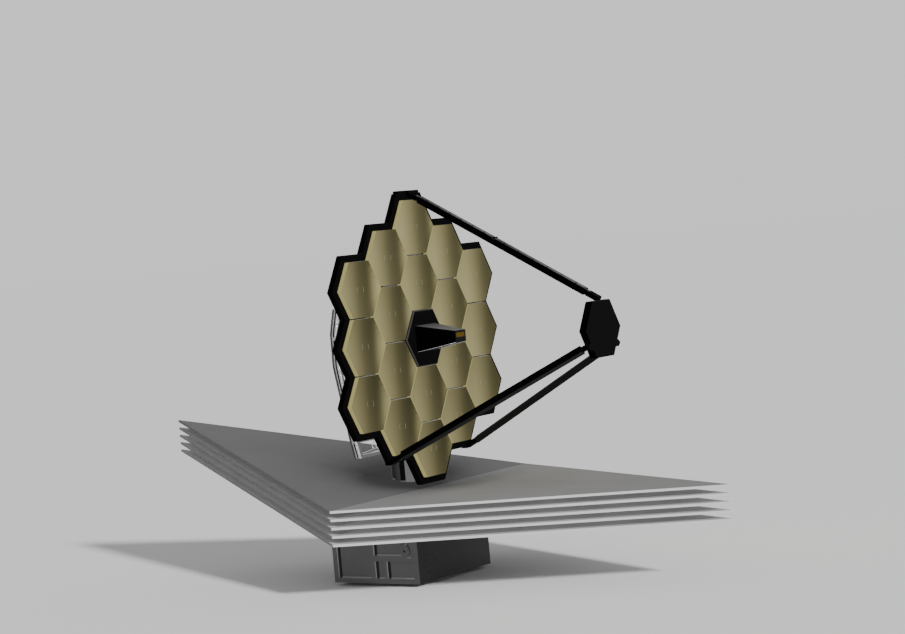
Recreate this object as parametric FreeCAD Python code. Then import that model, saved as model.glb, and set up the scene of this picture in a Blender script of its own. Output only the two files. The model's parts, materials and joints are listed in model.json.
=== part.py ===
import FreeCAD, Part
import math
import os

# Space telescope with a segmented primary mirror, a secondary mirror on a folding tripod,
# and a five-layer sunshield over its spacecraft bus. All sizes in millimetres.
# +X is the way the telescope looks, +Z is up, and the origin is on the floor
# under the middle of the adapter ring.

# Adapter ring
ring_radius = 890.0
ring_bore_radius = 800.0
ring_height = 80.0
ring_groove = 30.0

# Bus
bus_length = 2590.0
bus_width = 3000.0
bus_height = 1215.0
bus_edge = 18.0
panel_recess = 30.0
panel_low_frame = 118.0
panel_row_height = 424.0
panel_row_frame = 133.0
panel_top_frame = 120.0
aft_panel_frame = 170.0
bus_tall_shares = (0.072, 0.457)
bus_low_row_shares = ((0.512, 0.604), (0.65, 0.945))
bus_high_row_shares = (0.507, 0.925)
port_share = 0.855
port_boss_radius = 150.0
port_radius = 35.0
port_depth = 60.0
port_rise = 115.0

# Sunshield
layer_count = 5
layer_pitch = 194.0
layer_thickness = 58.0
crease_x = 833.0
shield_half_width = 4073.0
shield_fore_reach = 8221.0
shield_aft_reach = 8121.0
shield_aft_rise = 1795.0

# Column, booms and pallets that carry the layers
column_sides = 12
column_radius = 318.0
column_wall = 40.0
flange_radius = 600.0
boom_radius = 45.0
boom_reach = 3300.0
boom_socket_radius = 75.0
boom_socket_length = 370.0
boom_tip = 90.0
pallet_depth = 100.0
fore_pallet_reach = 6200.0
aft_pallet_reach = 5200.0
pallet_root_half_width = 460.0
pallet_tip_half_width = 200.0
pallet_beam = 90.0
pallet_bays = 6

# Tower
tower_radius = 318.0
tower_slot_width = 135.0
tower_slot_depth = 60.0
tower_slot_angle = 63.0
tower_slot_stop = 60.0
collar_height = 70.0
collar_overhang = 60.0

# Primary mirror
mirror_x = 970.0
mirror_z = 5858.0
segment_flats = 1320.0
segment_gap = 30.0
segment_depth = 110.0
segment_face = 42.0
segment_rib = 26.0
segment_rim = 30.0
mirror_curvature = 15900.0

# Backplane
border_margin = 172.0
backplane_depth = 150.0
rib_half_width = 60.0
seam_clearance = 12.0

# Wing hinges
knuckle_radius = 36.0
knuckle_length = 180.0
knuckle_leaf = 90.0
knuckle_clearance = 6.0
hinge_standoff = 44.0
hinge_pin_radius = 16.0
hinge_pin_reach = 155.0
pin_clearance = 0.5

# Bezel and aft optics
bezel_depth = 45.0
bezel_gap = 8.0
bezel_chamfer = 25.0
nose_length = 1030.0
nose_base_half_width = 408.0
nose_base_half_height = 320.0
nose_tip_half_width = 213.0
nose_tip_half_height = 140.0
nose_tip_rise = 0.0
window_width = 354.0
window_height = 108.0
window_recess = 18.0
window_thickness = 10.0
window_rise = 35.0

# Instrument box and its hoop
box_half_width = 750.0
box_length = 1560.0
box_drop = 2358.0
box_rise = 742.0
box_edge = 60.0
hoop_x = -880.0
hoop_depth = 200.0
hoop_bar = 80.0
hoop_groove = 50.0
hoop_groove_depth = 45.0
hoop_half_width = 1330.0
hoop_height = 3700.0
hoop_drop = 2828.0
hoop_half_shares = ((0.60, 0.0), (0.70, 0.12), (0.88, 0.42), (1.0, 0.62), (1.0, 0.84), (0.86, 1.0))
hoop_arm_shares = (0.1, 0.8)

# Tripod
strut_size = 160.0
strut_half = strut_size / 2
strut_setback = 95.0
lower_strut_roll = 24.0
strut_pin_radius = 24.0
lug_radius = 60.0
tongue_width = 84.0
tongue_root = 50.0
cheek_thickness = 36.0
cheek_gap = 6.0
top_pad_half_width = 420.0
top_pad_rise = 62.0
top_pivot_x = 1100.0
top_pivot_rise = 3393.0
nose_pivot_x = 5770.0
nose_pivot_rise = 828.0
nose_web_start = 120.0
nose_web_reach = 300.0
foot_pivot_x = 1100.0
foot_pivot_y = 1581.0
foot_pivot_drop = 2717.0
head_pivot_x = 5950.0
head_pivot_y = 616.0
head_pivot_drop = 385.0
knee_share = 0.461
knee_knuckle = 24.0
knee_leaf = 60.0
knee_pin_radius = 10.0
knee_gap = 6.0

# Secondary mirror and its housing
secondary_flats = 1305.0
secondary_depth = 185.0
secondary_front_x = 6083.0
secondary_mirror_radius = 369.0
secondary_dome = 26.0
secondary_rim = 12.0
ear_inner_y = 326.0

# Fits
seat_gap = 0.3
overrun = 50.0

# Places worked out from the sizes above
pitch = segment_flats + segment_gap
side = pitch / math.sqrt(3)
column_step = side * 3 / 2
seam_inner = side * 2
seam_outer = side * 5 / 2
bus_top = ring_height + bus_height
lowest_underside = bus_top + pallet_depth
shield_top = lowest_underside + layer_thickness + layer_pitch * (layer_count - 1)
front_x = mirror_x - segment_depth
back_x = front_x - backplane_depth
hinge_x = back_x - hinge_standoff
hinge_y = (seam_inner + seam_outer) / 2
hinge_spread = pitch * 3 / 4
box_bottom = mirror_z - box_drop
box_top = mirror_z + box_rise
hoop_bottom_z = mirror_z - hoop_drop
top_pivot_z = mirror_z + top_pivot_rise
nose_pivot_z = mirror_z + nose_pivot_rise
foot_pivot_z = mirror_z - foot_pivot_drop
head_pivot_z = mirror_z - head_pivot_drop
lug_corner = lug_radius / math.cos(math.pi / 8)
knee_corner = knee_knuckle / math.cos(math.pi / 8)
knee_third = (strut_size - 2 * knee_gap) / 3
clevis_half_width = tongue_width / 2 + cheek_gap + cheek_thickness

X_AXIS = FreeCAD.Vector(1, 0, 0)
Y_AXIS = FreeCAD.Vector(0, 1, 0)
Z_AXIS = FreeCAD.Vector(0, 0, 1)
ORIGIN = FreeCAD.Vector(0, 0, 0)
top_pivot = FreeCAD.Vector(top_pivot_x, 0, top_pivot_z)
nose_pivot = FreeCAD.Vector(nose_pivot_x, 0, nose_pivot_z)
strut_along = (nose_pivot - top_pivot).normalize()
strut_upward = FreeCAD.Vector(-strut_along.z, 0, strut_along.x)
knee_middle = top_pivot + (nose_pivot - top_pivot) * knee_share
knee_axis = knee_middle + strut_upward * strut_half
os.makedirs("parts", exist_ok=True)


# Helpers
def vec(x, y, z):
    return FreeCAD.Vector(x, y, z)


def save(name, shape):
    shape.exportStep("parts/" + name + ".step")


def prism(points, direction):
    """Solid between a closed outline and its copy moved along direction."""
    outline = Part.makePolygon(points + points[:1])
    return Part.Face(outline).extrude(direction)


def block(x0, x1, y0, y1, z0, z1):
    """Box between two planes on each axis, given in either order."""
    low = vec(min(x0, x1), min(y0, y1), min(z0, z1))
    return Part.makeBox(abs(x1 - x0), abs(y1 - y0), abs(z1 - z0), low)


def fuse(shapes):
    return shapes[0].multiFuse(shapes[1:]).removeSplitter()


def one_solid(shape):
    """The single solid inside the compound that a boolean gives."""
    return shape.Solids[0] if len(shape.Solids) == 1 else shape


def corners(sides, centre, half_flats, first, second):
    """Corners of a regular outline round centre, with a flat facing the way of first."""
    reach = half_flats / math.cos(math.pi / sides)
    points = []
    for index in range(sides):
        angle = math.pi * (2 * index + 1) / sides
        points.append(centre + first * (reach * math.cos(angle)) + second * (reach * math.sin(angle)))
    return points


def taper(root, tip):
    """Solid with flat sides between two parallel outlines that have as many corners."""
    faces = [Part.Face(Part.makePolygon(root + root[:1])), Part.Face(Part.makePolygon(tip + tip[:1]))]
    for index in range(len(root)):
        after = (index + 1) % len(root)
        quad = [root[index], root[after], tip[after], tip[index]]
        faces.append(Part.Face(Part.makePolygon(quad + quad[:1])))
    shell = Part.makeShell(faces)
    shell.sewShape()
    solid = Part.makeSolid(shell)
    if solid.Volume < 0:
        solid.reverse()
    return solid


# Adapter ring with the groove that a clamp band closes on
def adapter_ring():
    profile = [
        vec(ring_bore_radius, 0, 0),
        vec(ring_radius, 0, 0),
        vec(ring_radius - ring_groove, 0, ring_height / 2),
        vec(ring_radius, 0, ring_height),
        vec(ring_bore_radius, 0, ring_height),
    ]
    face = Part.Face(Part.makePolygon(profile + profile[:1]))
    return face.revolve(ORIGIN, Z_AXIS, 360)


# Bus with recessed side panels
def bus():
    half_length = bus_length / 2
    half_width = bus_width / 2
    body = block(-half_length, half_length, -half_width, half_width, ring_height, bus_top)
    uprights = [e for e in body.Edges if e.tangentAt(e.FirstParameter).cross(Z_AXIS).Length == 0]
    body = body.makeChamfer(bus_edge, uprights)
    low = ring_height + panel_low_frame
    row_top = low + panel_row_height
    row_low = row_top + panel_row_frame
    high = bus_top - panel_top_frame
    panels = [(bus_tall_shares, low, high), (bus_high_row_shares, row_low, high)]
    panels += [(shares, low, row_top) for shares in bus_low_row_shares]
    for (start, end), z0, z1 in panels:
        x0 = -half_length + bus_length * start
        x1 = -half_length + bus_length * end
        for hand in (-1, 1):
            floor = hand * (half_width - panel_recess)
            body = body.cut(block(x0, x1, floor, hand * (half_width + overrun), z0, z1))
    port = vec(-half_length + bus_length * port_share, -half_width, row_low + port_rise)
    body = body.fuse(Part.makeCylinder(port_boss_radius, panel_recess, port, Y_AXIS))
    body = body.cut(Part.makeCylinder(port_radius, port_depth, port, Y_AXIS))
    aft = block(-half_length - overrun, -half_length + panel_recess,
                aft_panel_frame - half_width, half_width - aft_panel_frame, low, high)
    return one_solid(body.removeSplitter().cut(aft))


# Layers of the sunshield
def kite_prism():
    """Plan outline of the shield, from the bus up past every layer."""
    points = [
        vec(crease_x - shield_aft_reach, 0, ring_height),
        vec(crease_x, -shield_half_width, ring_height),
        vec(crease_x + shield_fore_reach, 0, ring_height),
        vec(crease_x, shield_half_width, ring_height),
    ]
    return prism(points, vec(0, 0, mirror_z))


def creased_slab(z0, z1):
    """Slab between two creased surfaces whose fore halves lie at z0 and z1."""
    aft_x = crease_x - shield_aft_reach
    fore_x = crease_x + shield_fore_reach
    points = [
        vec(aft_x, -shield_half_width, z0 + shield_aft_rise),
        vec(crease_x, -shield_half_width, z0),
        vec(fore_x, -shield_half_width, z0),
        vec(fore_x, -shield_half_width, z1),
        vec(crease_x, -shield_half_width, z1),
        vec(aft_x, -shield_half_width, z1 + shield_aft_rise),
    ]
    return prism(points, vec(0, 2 * shield_half_width, 0))


def layer_top(index):
    """Height of a layer's fore half, counted down from the top layer."""
    return shield_top - layer_pitch * index


def aft_height(x):
    """How far a creased surface has risen at a place aft of the crease."""
    return shield_aft_rise * (crease_x - x) / shield_aft_reach


def column_prism(radius, z0, z1):
    """Upright many-sided prism on the Z axis, with a flat facing each of X and Y."""
    outline = corners(column_sides, vec(0, 0, z0), radius, X_AXIS, Y_AXIS)
    return prism(outline, vec(0, 0, z1 - z0))


def shield_layer(index):
    top = layer_top(index)
    plate = creased_slab(top - layer_thickness, top).common(kite_prism())
    return one_solid(plate.cut(column_prism(column_radius + seat_gap, 0, mirror_z)))


# Column with a clamp flange under every layer
def shield_column():
    tall = column_prism(column_radius, bus_top, mirror_z)
    wide = column_prism(flange_radius, bus_top, mirror_z)
    pieces = [tall.common(creased_slab(-mirror_z, shield_top))]
    flange_low = -mirror_z
    for index in reversed(range(layer_count)):
        flange_high = layer_top(index) - layer_thickness
        pieces.append(wide.common(creased_slab(flange_low, flange_high)))
        flange_low = layer_top(index)
    bore = column_prism(column_radius - column_wall, bus_top + column_wall, mirror_z)
    return one_solid(fuse(pieces).cut(bore))


# Pallets and booms under the lowest layer
def ladder(length):
    """Tapered ladder frame along +X from x = 0, its top face at z = 0."""
    root = pallet_root_half_width
    tip = pallet_tip_half_width
    outline = [vec(0, -root, 0), vec(length, -tip, 0), vec(length, tip, 0), vec(0, root, 0)]
    frame = prism(outline, vec(0, 0, -pallet_depth))
    bay = length / pallet_bays
    for index in range(pallet_bays):
        x0 = bay * index + pallet_beam / 2
        x1 = bay * (index + 1) - pallet_beam / 2
        y0 = root + (tip - root) * x0 / length - pallet_beam
        y1 = root + (tip - root) * x1 / length - pallet_beam
        hole = [vec(x0, -y0, overrun), vec(x1, -y1, overrun), vec(x1, y1, overrun), vec(x0, y0, overrun)]
        frame = frame.cut(prism(hole, vec(0, 0, -pallet_depth - 2 * overrun)))
    return frame


def fore_pallet():
    frame = ladder(fore_pallet_reach)
    frame.translate(vec(crease_x, 0, lowest_underside))
    return one_solid(frame)


def aft_pallet():
    frame = ladder(aft_pallet_reach)
    frame.rotate(ORIGIN, Z_AXIS, 180)
    frame.rotate(ORIGIN, Y_AXIS, math.degrees(math.atan2(shield_aft_rise, shield_aft_reach)))
    frame.translate(vec(-column_radius, 0, lowest_underside + aft_height(-column_radius)))
    return one_solid(frame.cut(column_prism(flange_radius + seat_gap, 0, mirror_z)))


def mid_boom(hand):
    """Side boom from the lowest flange, with a tip block that touches the lowest layer."""
    slope = math.atan2(shield_aft_rise, shield_aft_reach)
    start = flange_radius + seat_gap
    rod_z = lowest_underside + aft_height(0) - boom_socket_radius / math.cos(slope) - seat_gap
    root = vec(0, hand * start, rod_z)
    outward = vec(0, hand, 0)
    socket_flats = boom_socket_radius * math.cos(math.pi / column_sides)
    ends = corners(column_sides, root, socket_flats, X_AXIS, Z_AXIS)
    socket = prism(ends, outward * boom_socket_length)
    rod = Part.makeCylinder(boom_radius, boom_reach - start, root, outward)
    tip = block(-boom_tip / 2, boom_tip / 2, hand * (boom_reach - boom_tip), hand * boom_reach,
                rod_z - boom_tip / 2, mirror_z)
    return one_solid(fuse([socket, rod, tip.common(creased_slab(-mirror_z, lowest_underside))]))


# Tower with upright slots and a collar under the instrument box
def tower():
    body = Part.makeCylinder(tower_radius, box_bottom, ORIGIN, Z_AXIS)
    body = body.common(creased_slab(shield_top, mirror_z))
    slot_top = box_bottom - collar_height - tower_slot_stop
    for aft in (0, 1):
        for hand in (-1, 1):
            slot = block(tower_radius - tower_slot_depth, tower_radius + overrun,
                         -tower_slot_width / 2, tower_slot_width / 2, 0, slot_top)
            slot.rotate(ORIGIN, Z_AXIS, 180 * aft + tower_slot_angle * hand)
            body = body.cut(slot)
    collar = column_prism(tower_radius + collar_overhang, box_bottom - collar_height, box_bottom)
    return one_solid(fuse([body, collar]))


# Mirror cells
def hexagon(flats, x, y, z):
    """Corners of a hexagon facing +X with its flats at top and bottom."""
    return corners(6, vec(x, y, z), flats / 2, Z_AXIS, Y_AXIS)


def cell_centre(column, row):
    """Centre of a mirror cell: columns count along Y, rows in half pitches along Z."""
    return column_step * column, mirror_z + pitch * row / 2


def mirror_cells(columns):
    """Every cell in the given columns but the empty one in the middle."""
    cells = []
    for column in columns:
        top_row = 4 - abs(column)
        for row in range(-top_row, top_row + 1, 2):
            if (column, row) != (0, 0):
                cells.append((column, row))
    return cells


# Mirror segment: a hexagon with a hollow front and a back lightened by six pockets
def segment_blank():
    """One segment about its own centre, its front rim at x = 0."""
    body = prism(hexagon(segment_flats, -segment_depth, 0, 0), vec(segment_depth, 0, 0))
    corner = segment_flats / math.sqrt(3)
    sag = mirror_curvature - math.sqrt(mirror_curvature ** 2 - corner ** 2)
    body = body.cut(Part.makeSphere(mirror_curvature, vec(mirror_curvature - sag, 0, 0)))
    far = segment_flats / 2 - segment_rim
    half_far = (far - segment_rib) * math.tan(math.pi / 6)
    pocket_depth = segment_depth - segment_face - sag
    base = vec(-segment_depth - overrun, 0, 0)
    for index in range(6):
        angle = math.radians(60 * index + 30)
        towards = vec(0, math.cos(angle), math.sin(angle))
        across = vec(0, -math.sin(angle), math.cos(angle))
        outline = [base + towards * segment_rib,
                   base + towards * far - across * half_far,
                   base + towards * far + across * half_far]
        body = body.cut(prism(outline, vec(pocket_depth + overrun, 0, 0)))
    return one_solid(body)


# Backplane
def seam_line(hand, shift):
    """Zigzag between the centre and a wing, from low to high, moved outward by shift."""
    zigzag = []
    for step in range(-3, 4):
        y = seam_outer if step % 2 else seam_inner
        zigzag.append((y, step * pitch / 2))
    run_out_y = seam_outer + border_margin
    run_out_z = pitch * 3 / 2 + border_margin * math.sqrt(3)
    points = [(run_out_y, -run_out_z)] + zigzag + [(run_out_y, run_out_z)]
    return [(hand * (y + shift), z + mirror_z) for y, z in points]


def wing_region(hand, shift):
    """Everything outboard of the seam, through the depth of the backplane."""
    start = back_x - overrun
    points = [vec(start, y, z) for y, z in seam_line(hand, shift)]
    points.append(vec(start, hand * shield_half_width, mirror_z + shield_half_width))
    points.append(vec(start, hand * shield_half_width, mirror_z - shield_half_width))
    return prism(points, vec(backplane_depth + 2 * overrun, 0, 0))


def ribbed_frame(cells):
    """Plate behind the given cells with a wide margin and an opening in each cell."""
    plates = []
    openings = []
    for column, row in cells:
        y, z = cell_centre(column, row)
        outer = hexagon(segment_flats + 2 * border_margin, back_x, y, z)
        inner = hexagon(pitch - 2 * rib_half_width, back_x - overrun, y, z)
        plates.append(prism(outer, vec(backplane_depth, 0, 0)))
        openings.append(prism(inner, vec(backplane_depth + 2 * overrun, 0, 0)))
    return fuse(plates).cut(Part.makeCompound(openings))


def hinge_heights():
    """Two heights where the seam crosses the hinge axis, each with the way to the centre's side."""
    return ((mirror_z - hinge_spread, 1), (mirror_z + hinge_spread, -1))


def knuckle(hand, z0, z1, leaf_y):
    """Eight-sided hinge knuckle with the leaf that ties it to the back of a frame."""
    low = min(z0, z1)
    outline = corners(8, vec(hinge_x, hand * hinge_y, low), knuckle_radius, X_AXIS, Y_AXIS)
    barrel = prism(outline, vec(0, 0, abs(z1 - z0)))
    leaf = block(hinge_x - knuckle_radius, back_x, hand * hinge_y, hand * leaf_y, z0, z1)
    return fuse([barrel, leaf])


def centre_backplane():
    frame = ribbed_frame(mirror_cells((-1, 0, 1)) + [(0, 0)])
    pieces = []
    for hand in (-1, 1):
        frame = frame.cut(wing_region(hand, -seam_clearance / 2))
        for height, inward in hinge_heights():
            pieces.append(knuckle(hand, height, height + inward * knuckle_length, hinge_y - knuckle_leaf))
            root = vec(hinge_x, hand * hinge_y, height)
            pieces.append(Part.makeCylinder(hinge_pin_radius, hinge_pin_reach, root, Z_AXIS * -inward))
        pieces.append(foot_clevis(hand))
    return one_solid(fuse([frame, top_clevis()] + pieces))


def wing_backplane(hand):
    frame = ribbed_frame(mirror_cells((2 * hand,)))
    frame = frame.common(wing_region(hand, seam_clearance / 2))
    pieces = [frame]
    for height, inward in hinge_heights():
        near = height - inward * knuckle_clearance
        far = height - inward * knuckle_length
        bored = knuckle(hand, near, far, hinge_y + knuckle_leaf)
        start = vec(hinge_x, hand * hinge_y, min(near, far) - overrun)
        bore = Part.makeCylinder(hinge_pin_radius + pin_clearance, knuckle_length + 2 * overrun,
                                 start, Z_AXIS)
        pieces.append(bored.cut(bore))
    return one_solid(fuse(pieces))


# Bezel, aft optics and window
def bezel():
    flats = segment_flats + 2 * (segment_gap - bezel_gap)
    shoulder_x = mirror_x + bezel_depth - bezel_chamfer
    base = prism(hexagon(flats, front_x, 0, mirror_z), vec(shoulder_x - front_x, 0, 0))
    crown = taper(hexagon(flats, shoulder_x, 0, mirror_z),
                  hexagon(flats - 2 * bezel_chamfer, mirror_x + bezel_depth, 0, mirror_z))
    return one_solid(fuse([base, crown]))


def rectangle(x, half_width, half_height, z):
    """Corners of an upright rectangle facing +X."""
    return [vec(x, -half_width, z - half_height), vec(x, half_width, z - half_height),
            vec(x, half_width, z + half_height), vec(x, -half_width, z + half_height)]


def aft_optics():
    root_x = mirror_x + bezel_depth
    tip_x = root_x + nose_length
    root = rectangle(root_x, nose_base_half_width, nose_base_half_height, mirror_z)
    tip = rectangle(tip_x, nose_tip_half_width, nose_tip_half_height, mirror_z + nose_tip_rise)
    middle = mirror_z + window_rise
    pocket = block(tip_x - window_recess, tip_x + overrun, -window_width / 2, window_width / 2,
                   middle - window_height / 2, middle + window_height / 2)
    return one_solid(taper(root, tip).cut(pocket))


def optics_window():
    start = mirror_x + bezel_depth + nose_length - window_recess
    half_width = window_width / 2 - seat_gap
    half_height = window_height / 2 - seat_gap
    middle = mirror_z + window_rise
    return block(start, start + window_thickness, -half_width, half_width,
                 middle - half_height, middle + half_height)


# Instruments behind the mirror
def instrument_box():
    rear_x = back_x - box_length
    body = block(rear_x, back_x, -box_half_width, box_half_width, box_bottom, box_top)
    rear = [e for e in body.Edges if abs(e.CenterOfMass.x - rear_x) < overrun]
    return body.makeChamfer(box_edge, rear)


def hoop_outline(x, inset):
    """Closed outline of the hoop across X, pulled in by inset."""
    bottom = hoop_bottom_z + inset
    top = hoop_bottom_z + hoop_height - inset
    half = []
    for across, up in hoop_half_shares:
        height = min(max(hoop_bottom_z + up * hoop_height, bottom), top)
        half.append((across * hoop_half_width - inset, height))
    return [vec(x, y, z) for y, z in half] + [vec(x, -y, z) for y, z in reversed(half)]


def instrument_hoop():
    """Channel-section hoop round the instrument box, with arms and a bar that reach the box."""
    outer = prism(hoop_outline(hoop_x, 0), vec(hoop_depth, 0, 0))
    inner = prism(hoop_outline(hoop_x - overrun, hoop_bar), vec(hoop_depth + 2 * overrun, 0, 0))
    groove_x = hoop_x + (hoop_depth - hoop_groove) / 2
    around = prism(hoop_outline(groove_x, -overrun), vec(hoop_groove, 0, 0))
    kept = prism(hoop_outline(groove_x, hoop_groove_depth), vec(hoop_groove, 0, 0))
    pieces = [outer.cut(inner).cut(around.cut(kept))]
    for share in hoop_arm_shares:
        z = box_bottom + (box_top - box_bottom) * share
        for hand in (-1, 1):
            arm = block(hoop_x, hoop_x + hoop_depth, hand * (box_half_width + seat_gap),
                        hand * hoop_half_width, z, z + hoop_bar)
            pieces.append(arm.common(outer))
    bar_top = box_bottom - seat_gap
    cross_bar = block(hoop_x, hoop_x + hoop_depth, -hoop_half_width, hoop_half_width,
                      bar_top - hoop_bar, bar_top)
    pieces.append(cross_bar.common(outer))
    return one_solid(fuse(pieces))


# Lugs and clevises of the tripod
def lug(pivot, towards, reach, width):
    """Flat lug in the X-Z plane: half an octagon round a pivot, then straight for reach."""
    upward = vec(-towards.z, 0, towards.x)
    short = lug_radius * math.tan(math.pi / 8)
    base = pivot - Y_AXIS * (width / 2)
    outline = [base + towards * reach - upward * lug_radius,
               base + towards * reach + upward * lug_radius,
               base - towards * short + upward * lug_radius,
               base - towards * lug_radius + upward * short,
               base - towards * lug_radius - upward * short,
               base - towards * short - upward * lug_radius]
    return prism(outline, Y_AXIS * width)


def reach_to(plane_x, pivot, towards):
    """How far a lug runs until its whole end is past an upright plane across X."""
    return (abs(plane_x - pivot.x) + lug_radius * abs(towards.z)) / abs(towards.x)


def clevis(pivot, towards, reach):
    """Pair of lugs beside a tongue, with the pin that goes through it."""
    offset = tongue_width / 2 + cheek_gap + cheek_thickness / 2
    cheeks = [lug(pivot + Y_AXIS * (hand * offset), towards, reach, cheek_thickness) for hand in (-1, 1)]
    pin = Part.makeCylinder(strut_pin_radius, 2 * clevis_half_width,
                            pivot - Y_AXIS * clevis_half_width, Y_AXIS)
    return cheeks + [pin]


def top_clevis():
    """Clevis in line with the upper strut, on a wide pad over the top cell."""
    head = mirror_z + 2 * pitch + segment_flats / 2
    pad = block(back_x, front_x, -top_pad_half_width, top_pad_half_width,
                head, head + border_margin + top_pad_rise)
    towards = strut_along * -1
    return fuse([pad] + clevis(top_pivot, towards, reach_to(front_x, top_pivot, towards)))


def foot_pivot(hand):
    return vec(foot_pivot_x, hand * foot_pivot_y, foot_pivot_z)


def head_pivot(hand):
    return vec(head_pivot_x, hand * head_pivot_y, head_pivot_z)


def foot_clevis(hand):
    """Clevis in line with a lower strut, on a pad that hangs below the frame."""
    foot = foot_pivot(hand)
    towards = foot - head_pivot(hand)
    towards = vec(towards.x, 0, towards.z).normalize()
    reach = reach_to(front_x, foot, towards)
    low = foot_pivot_z + reach * towards.z + lug_radius * towards.x
    pad = block(back_x, front_x, hand * (foot_pivot_y - clevis_half_width),
                hand * (foot_pivot_y + clevis_half_width), low, foot_pivot_z - lug_radius)
    return fuse([pad] + clevis(foot, towards, reach))


# Struts
def bar_between(start, end, setback_start, setback_end, roll=0.0):
    """Square bar along the line from start to end, rolled from upright side faces."""
    length = (end - start).Length
    along = (end - start).normalize()
    sideways = Z_AXIS.cross(along).normalize()
    level = sideways
    upward = along.cross(sideways).normalize()
    turn = math.radians(roll)
    sideways = level * math.cos(turn) + upward * math.sin(turn)
    upward = upward * math.cos(turn) - level * math.sin(turn)
    outline = []
    for a, b in ((-1, -1), (1, -1), (1, 1), (-1, 1)):
        outline.append(start + along * setback_start + (sideways * a + upward * b) * strut_half)
    return prism(outline, along * (length - setback_start - setback_end))


def tongue(pivot, along):
    """Lug that reaches from a pivot into the end of a bar."""
    flat = vec(along.x, 0, along.z).normalize()
    return lug(pivot, flat, strut_setback + tongue_root, tongue_width)


def bored_tongue(pivot, along):
    start = pivot - Y_AXIS * strut_size
    bore = Part.makeCylinder(strut_pin_radius + pin_clearance, 2 * strut_size, start, Y_AXIS)
    return tongue(pivot, along).cut(bore)


def knee_knuckles(spans, way):
    """Eight-sided knuckles over the given spans of Y, with leaves that run into their bar."""
    pieces = []
    for y0, y1 in spans:
        base = knee_axis + Y_AXIS * y0
        width = Y_AXIS * (y1 - y0)
        pieces.append(prism(corners(8, base, knee_knuckle, strut_along, strut_upward), width))
        low = base - strut_upward * knee_knuckle
        run = strut_along * (way * knee_leaf)
        pieces.append(prism([base, low, low + run, base + run], width))
    return pieces


def knee_notch():
    """Room round the knee pin for the other half's knuckles."""
    start = knee_axis - Y_AXIS * strut_size
    outline = corners(4, start, knee_corner + knee_gap, strut_along, strut_upward)
    return prism(outline, Y_AXIS * (2 * strut_size))


def upper_strut_inner():
    """Half with the two outer knuckles of the knee and its pin."""
    bar = bar_between(top_pivot, knee_middle, strut_setback, knee_gap / 2).cut(knee_notch())
    spans = [(-strut_half, -knee_third / 2 - knee_gap), (knee_third / 2 + knee_gap, strut_half)]
    pin = Part.makeCylinder(knee_pin_radius, strut_size - 2 * knee_pin_radius,
                            knee_axis - Y_AXIS * (strut_half - knee_pin_radius), Y_AXIS)
    pieces = [bar, bored_tongue(top_pivot, strut_along), pin]
    return one_solid(fuse(pieces + knee_knuckles(spans, -1)))


def upper_strut_outer():
    """Half with the middle knuckle of the knee."""
    bar = bar_between(knee_middle, nose_pivot, knee_gap / 2, strut_setback).cut(knee_notch())
    pieces = [bar, bored_tongue(nose_pivot, strut_along * -1)]
    pieces += knee_knuckles([(-knee_third / 2, knee_third / 2)], 1)
    bore = Part.makeCylinder(knee_pin_radius + pin_clearance, strut_size,
                             knee_axis - Y_AXIS * strut_half, Y_AXIS)
    return one_solid(fuse(pieces).cut(bore))


def lower_strut(hand):
    foot = foot_pivot(hand)
    head = head_pivot(hand)
    along = (head - foot).normalize()
    body = bar_between(foot, head, strut_setback, strut_setback, hand * lower_strut_roll)
    return one_solid(fuse([body, bored_tongue(foot, along), tongue(head, along * -1)]))


# Secondary mirror and its housing
def nose_web():
    """Web between the two cheeks of the nose clevis, clear of the tongue."""
    outline = []
    for run, rise in ((nose_web_start, -1), (nose_web_reach, -1), (nose_web_reach, 1), (nose_web_start, 1)):
        corner = nose_pivot + strut_along * run + strut_upward * (lug_radius * rise)
        outline.append(corner - Y_AXIS * clevis_half_width)
    return prism(outline, Y_AXIS * (2 * clevis_half_width))


def secondary_housing():
    back = secondary_front_x - secondary_depth
    body = prism(hexagon(secondary_flats, back, 0, mirror_z), vec(secondary_depth, 0, 0))
    pieces = [body, nose_web()] + clevis(nose_pivot, strut_along, nose_web_reach)
    for hand in (-1, 1):
        ear_x = head_pivot_x + lug_corner + knee_gap
        outline = []
        for y, rise in ((ear_inner_y, -strut_half), (head_pivot_y, -strut_half),
                        (head_pivot_y + strut_half, 0), (head_pivot_y, strut_half),
                        (ear_inner_y, strut_half)):
            outline.append(vec(ear_x, hand * y, head_pivot_z + rise))
        pieces.append(prism(outline, X_AXIS * (secondary_front_x - ear_x)))
    return one_solid(fuse(pieces))


def secondary_mirror():
    """Domed disc on the face of the housing that looks at the primary mirror."""
    back = secondary_front_x - secondary_depth
    radius = secondary_mirror_radius
    disc = Part.makeCylinder(radius, secondary_rim, vec(back - secondary_rim, 0, mirror_z), X_AXIS)
    crown_x = back - secondary_rim - secondary_dome
    ball_radius = (radius ** 2 + secondary_dome ** 2) / (2 * secondary_dome)
    ball = Part.makeSphere(ball_radius, vec(crown_x + ball_radius, 0, mirror_z))
    around = Part.makeCylinder(radius, secondary_dome, vec(crown_x, 0, mirror_z), X_AXIS)
    return one_solid(fuse([disc, around.common(ball)]))


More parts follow.
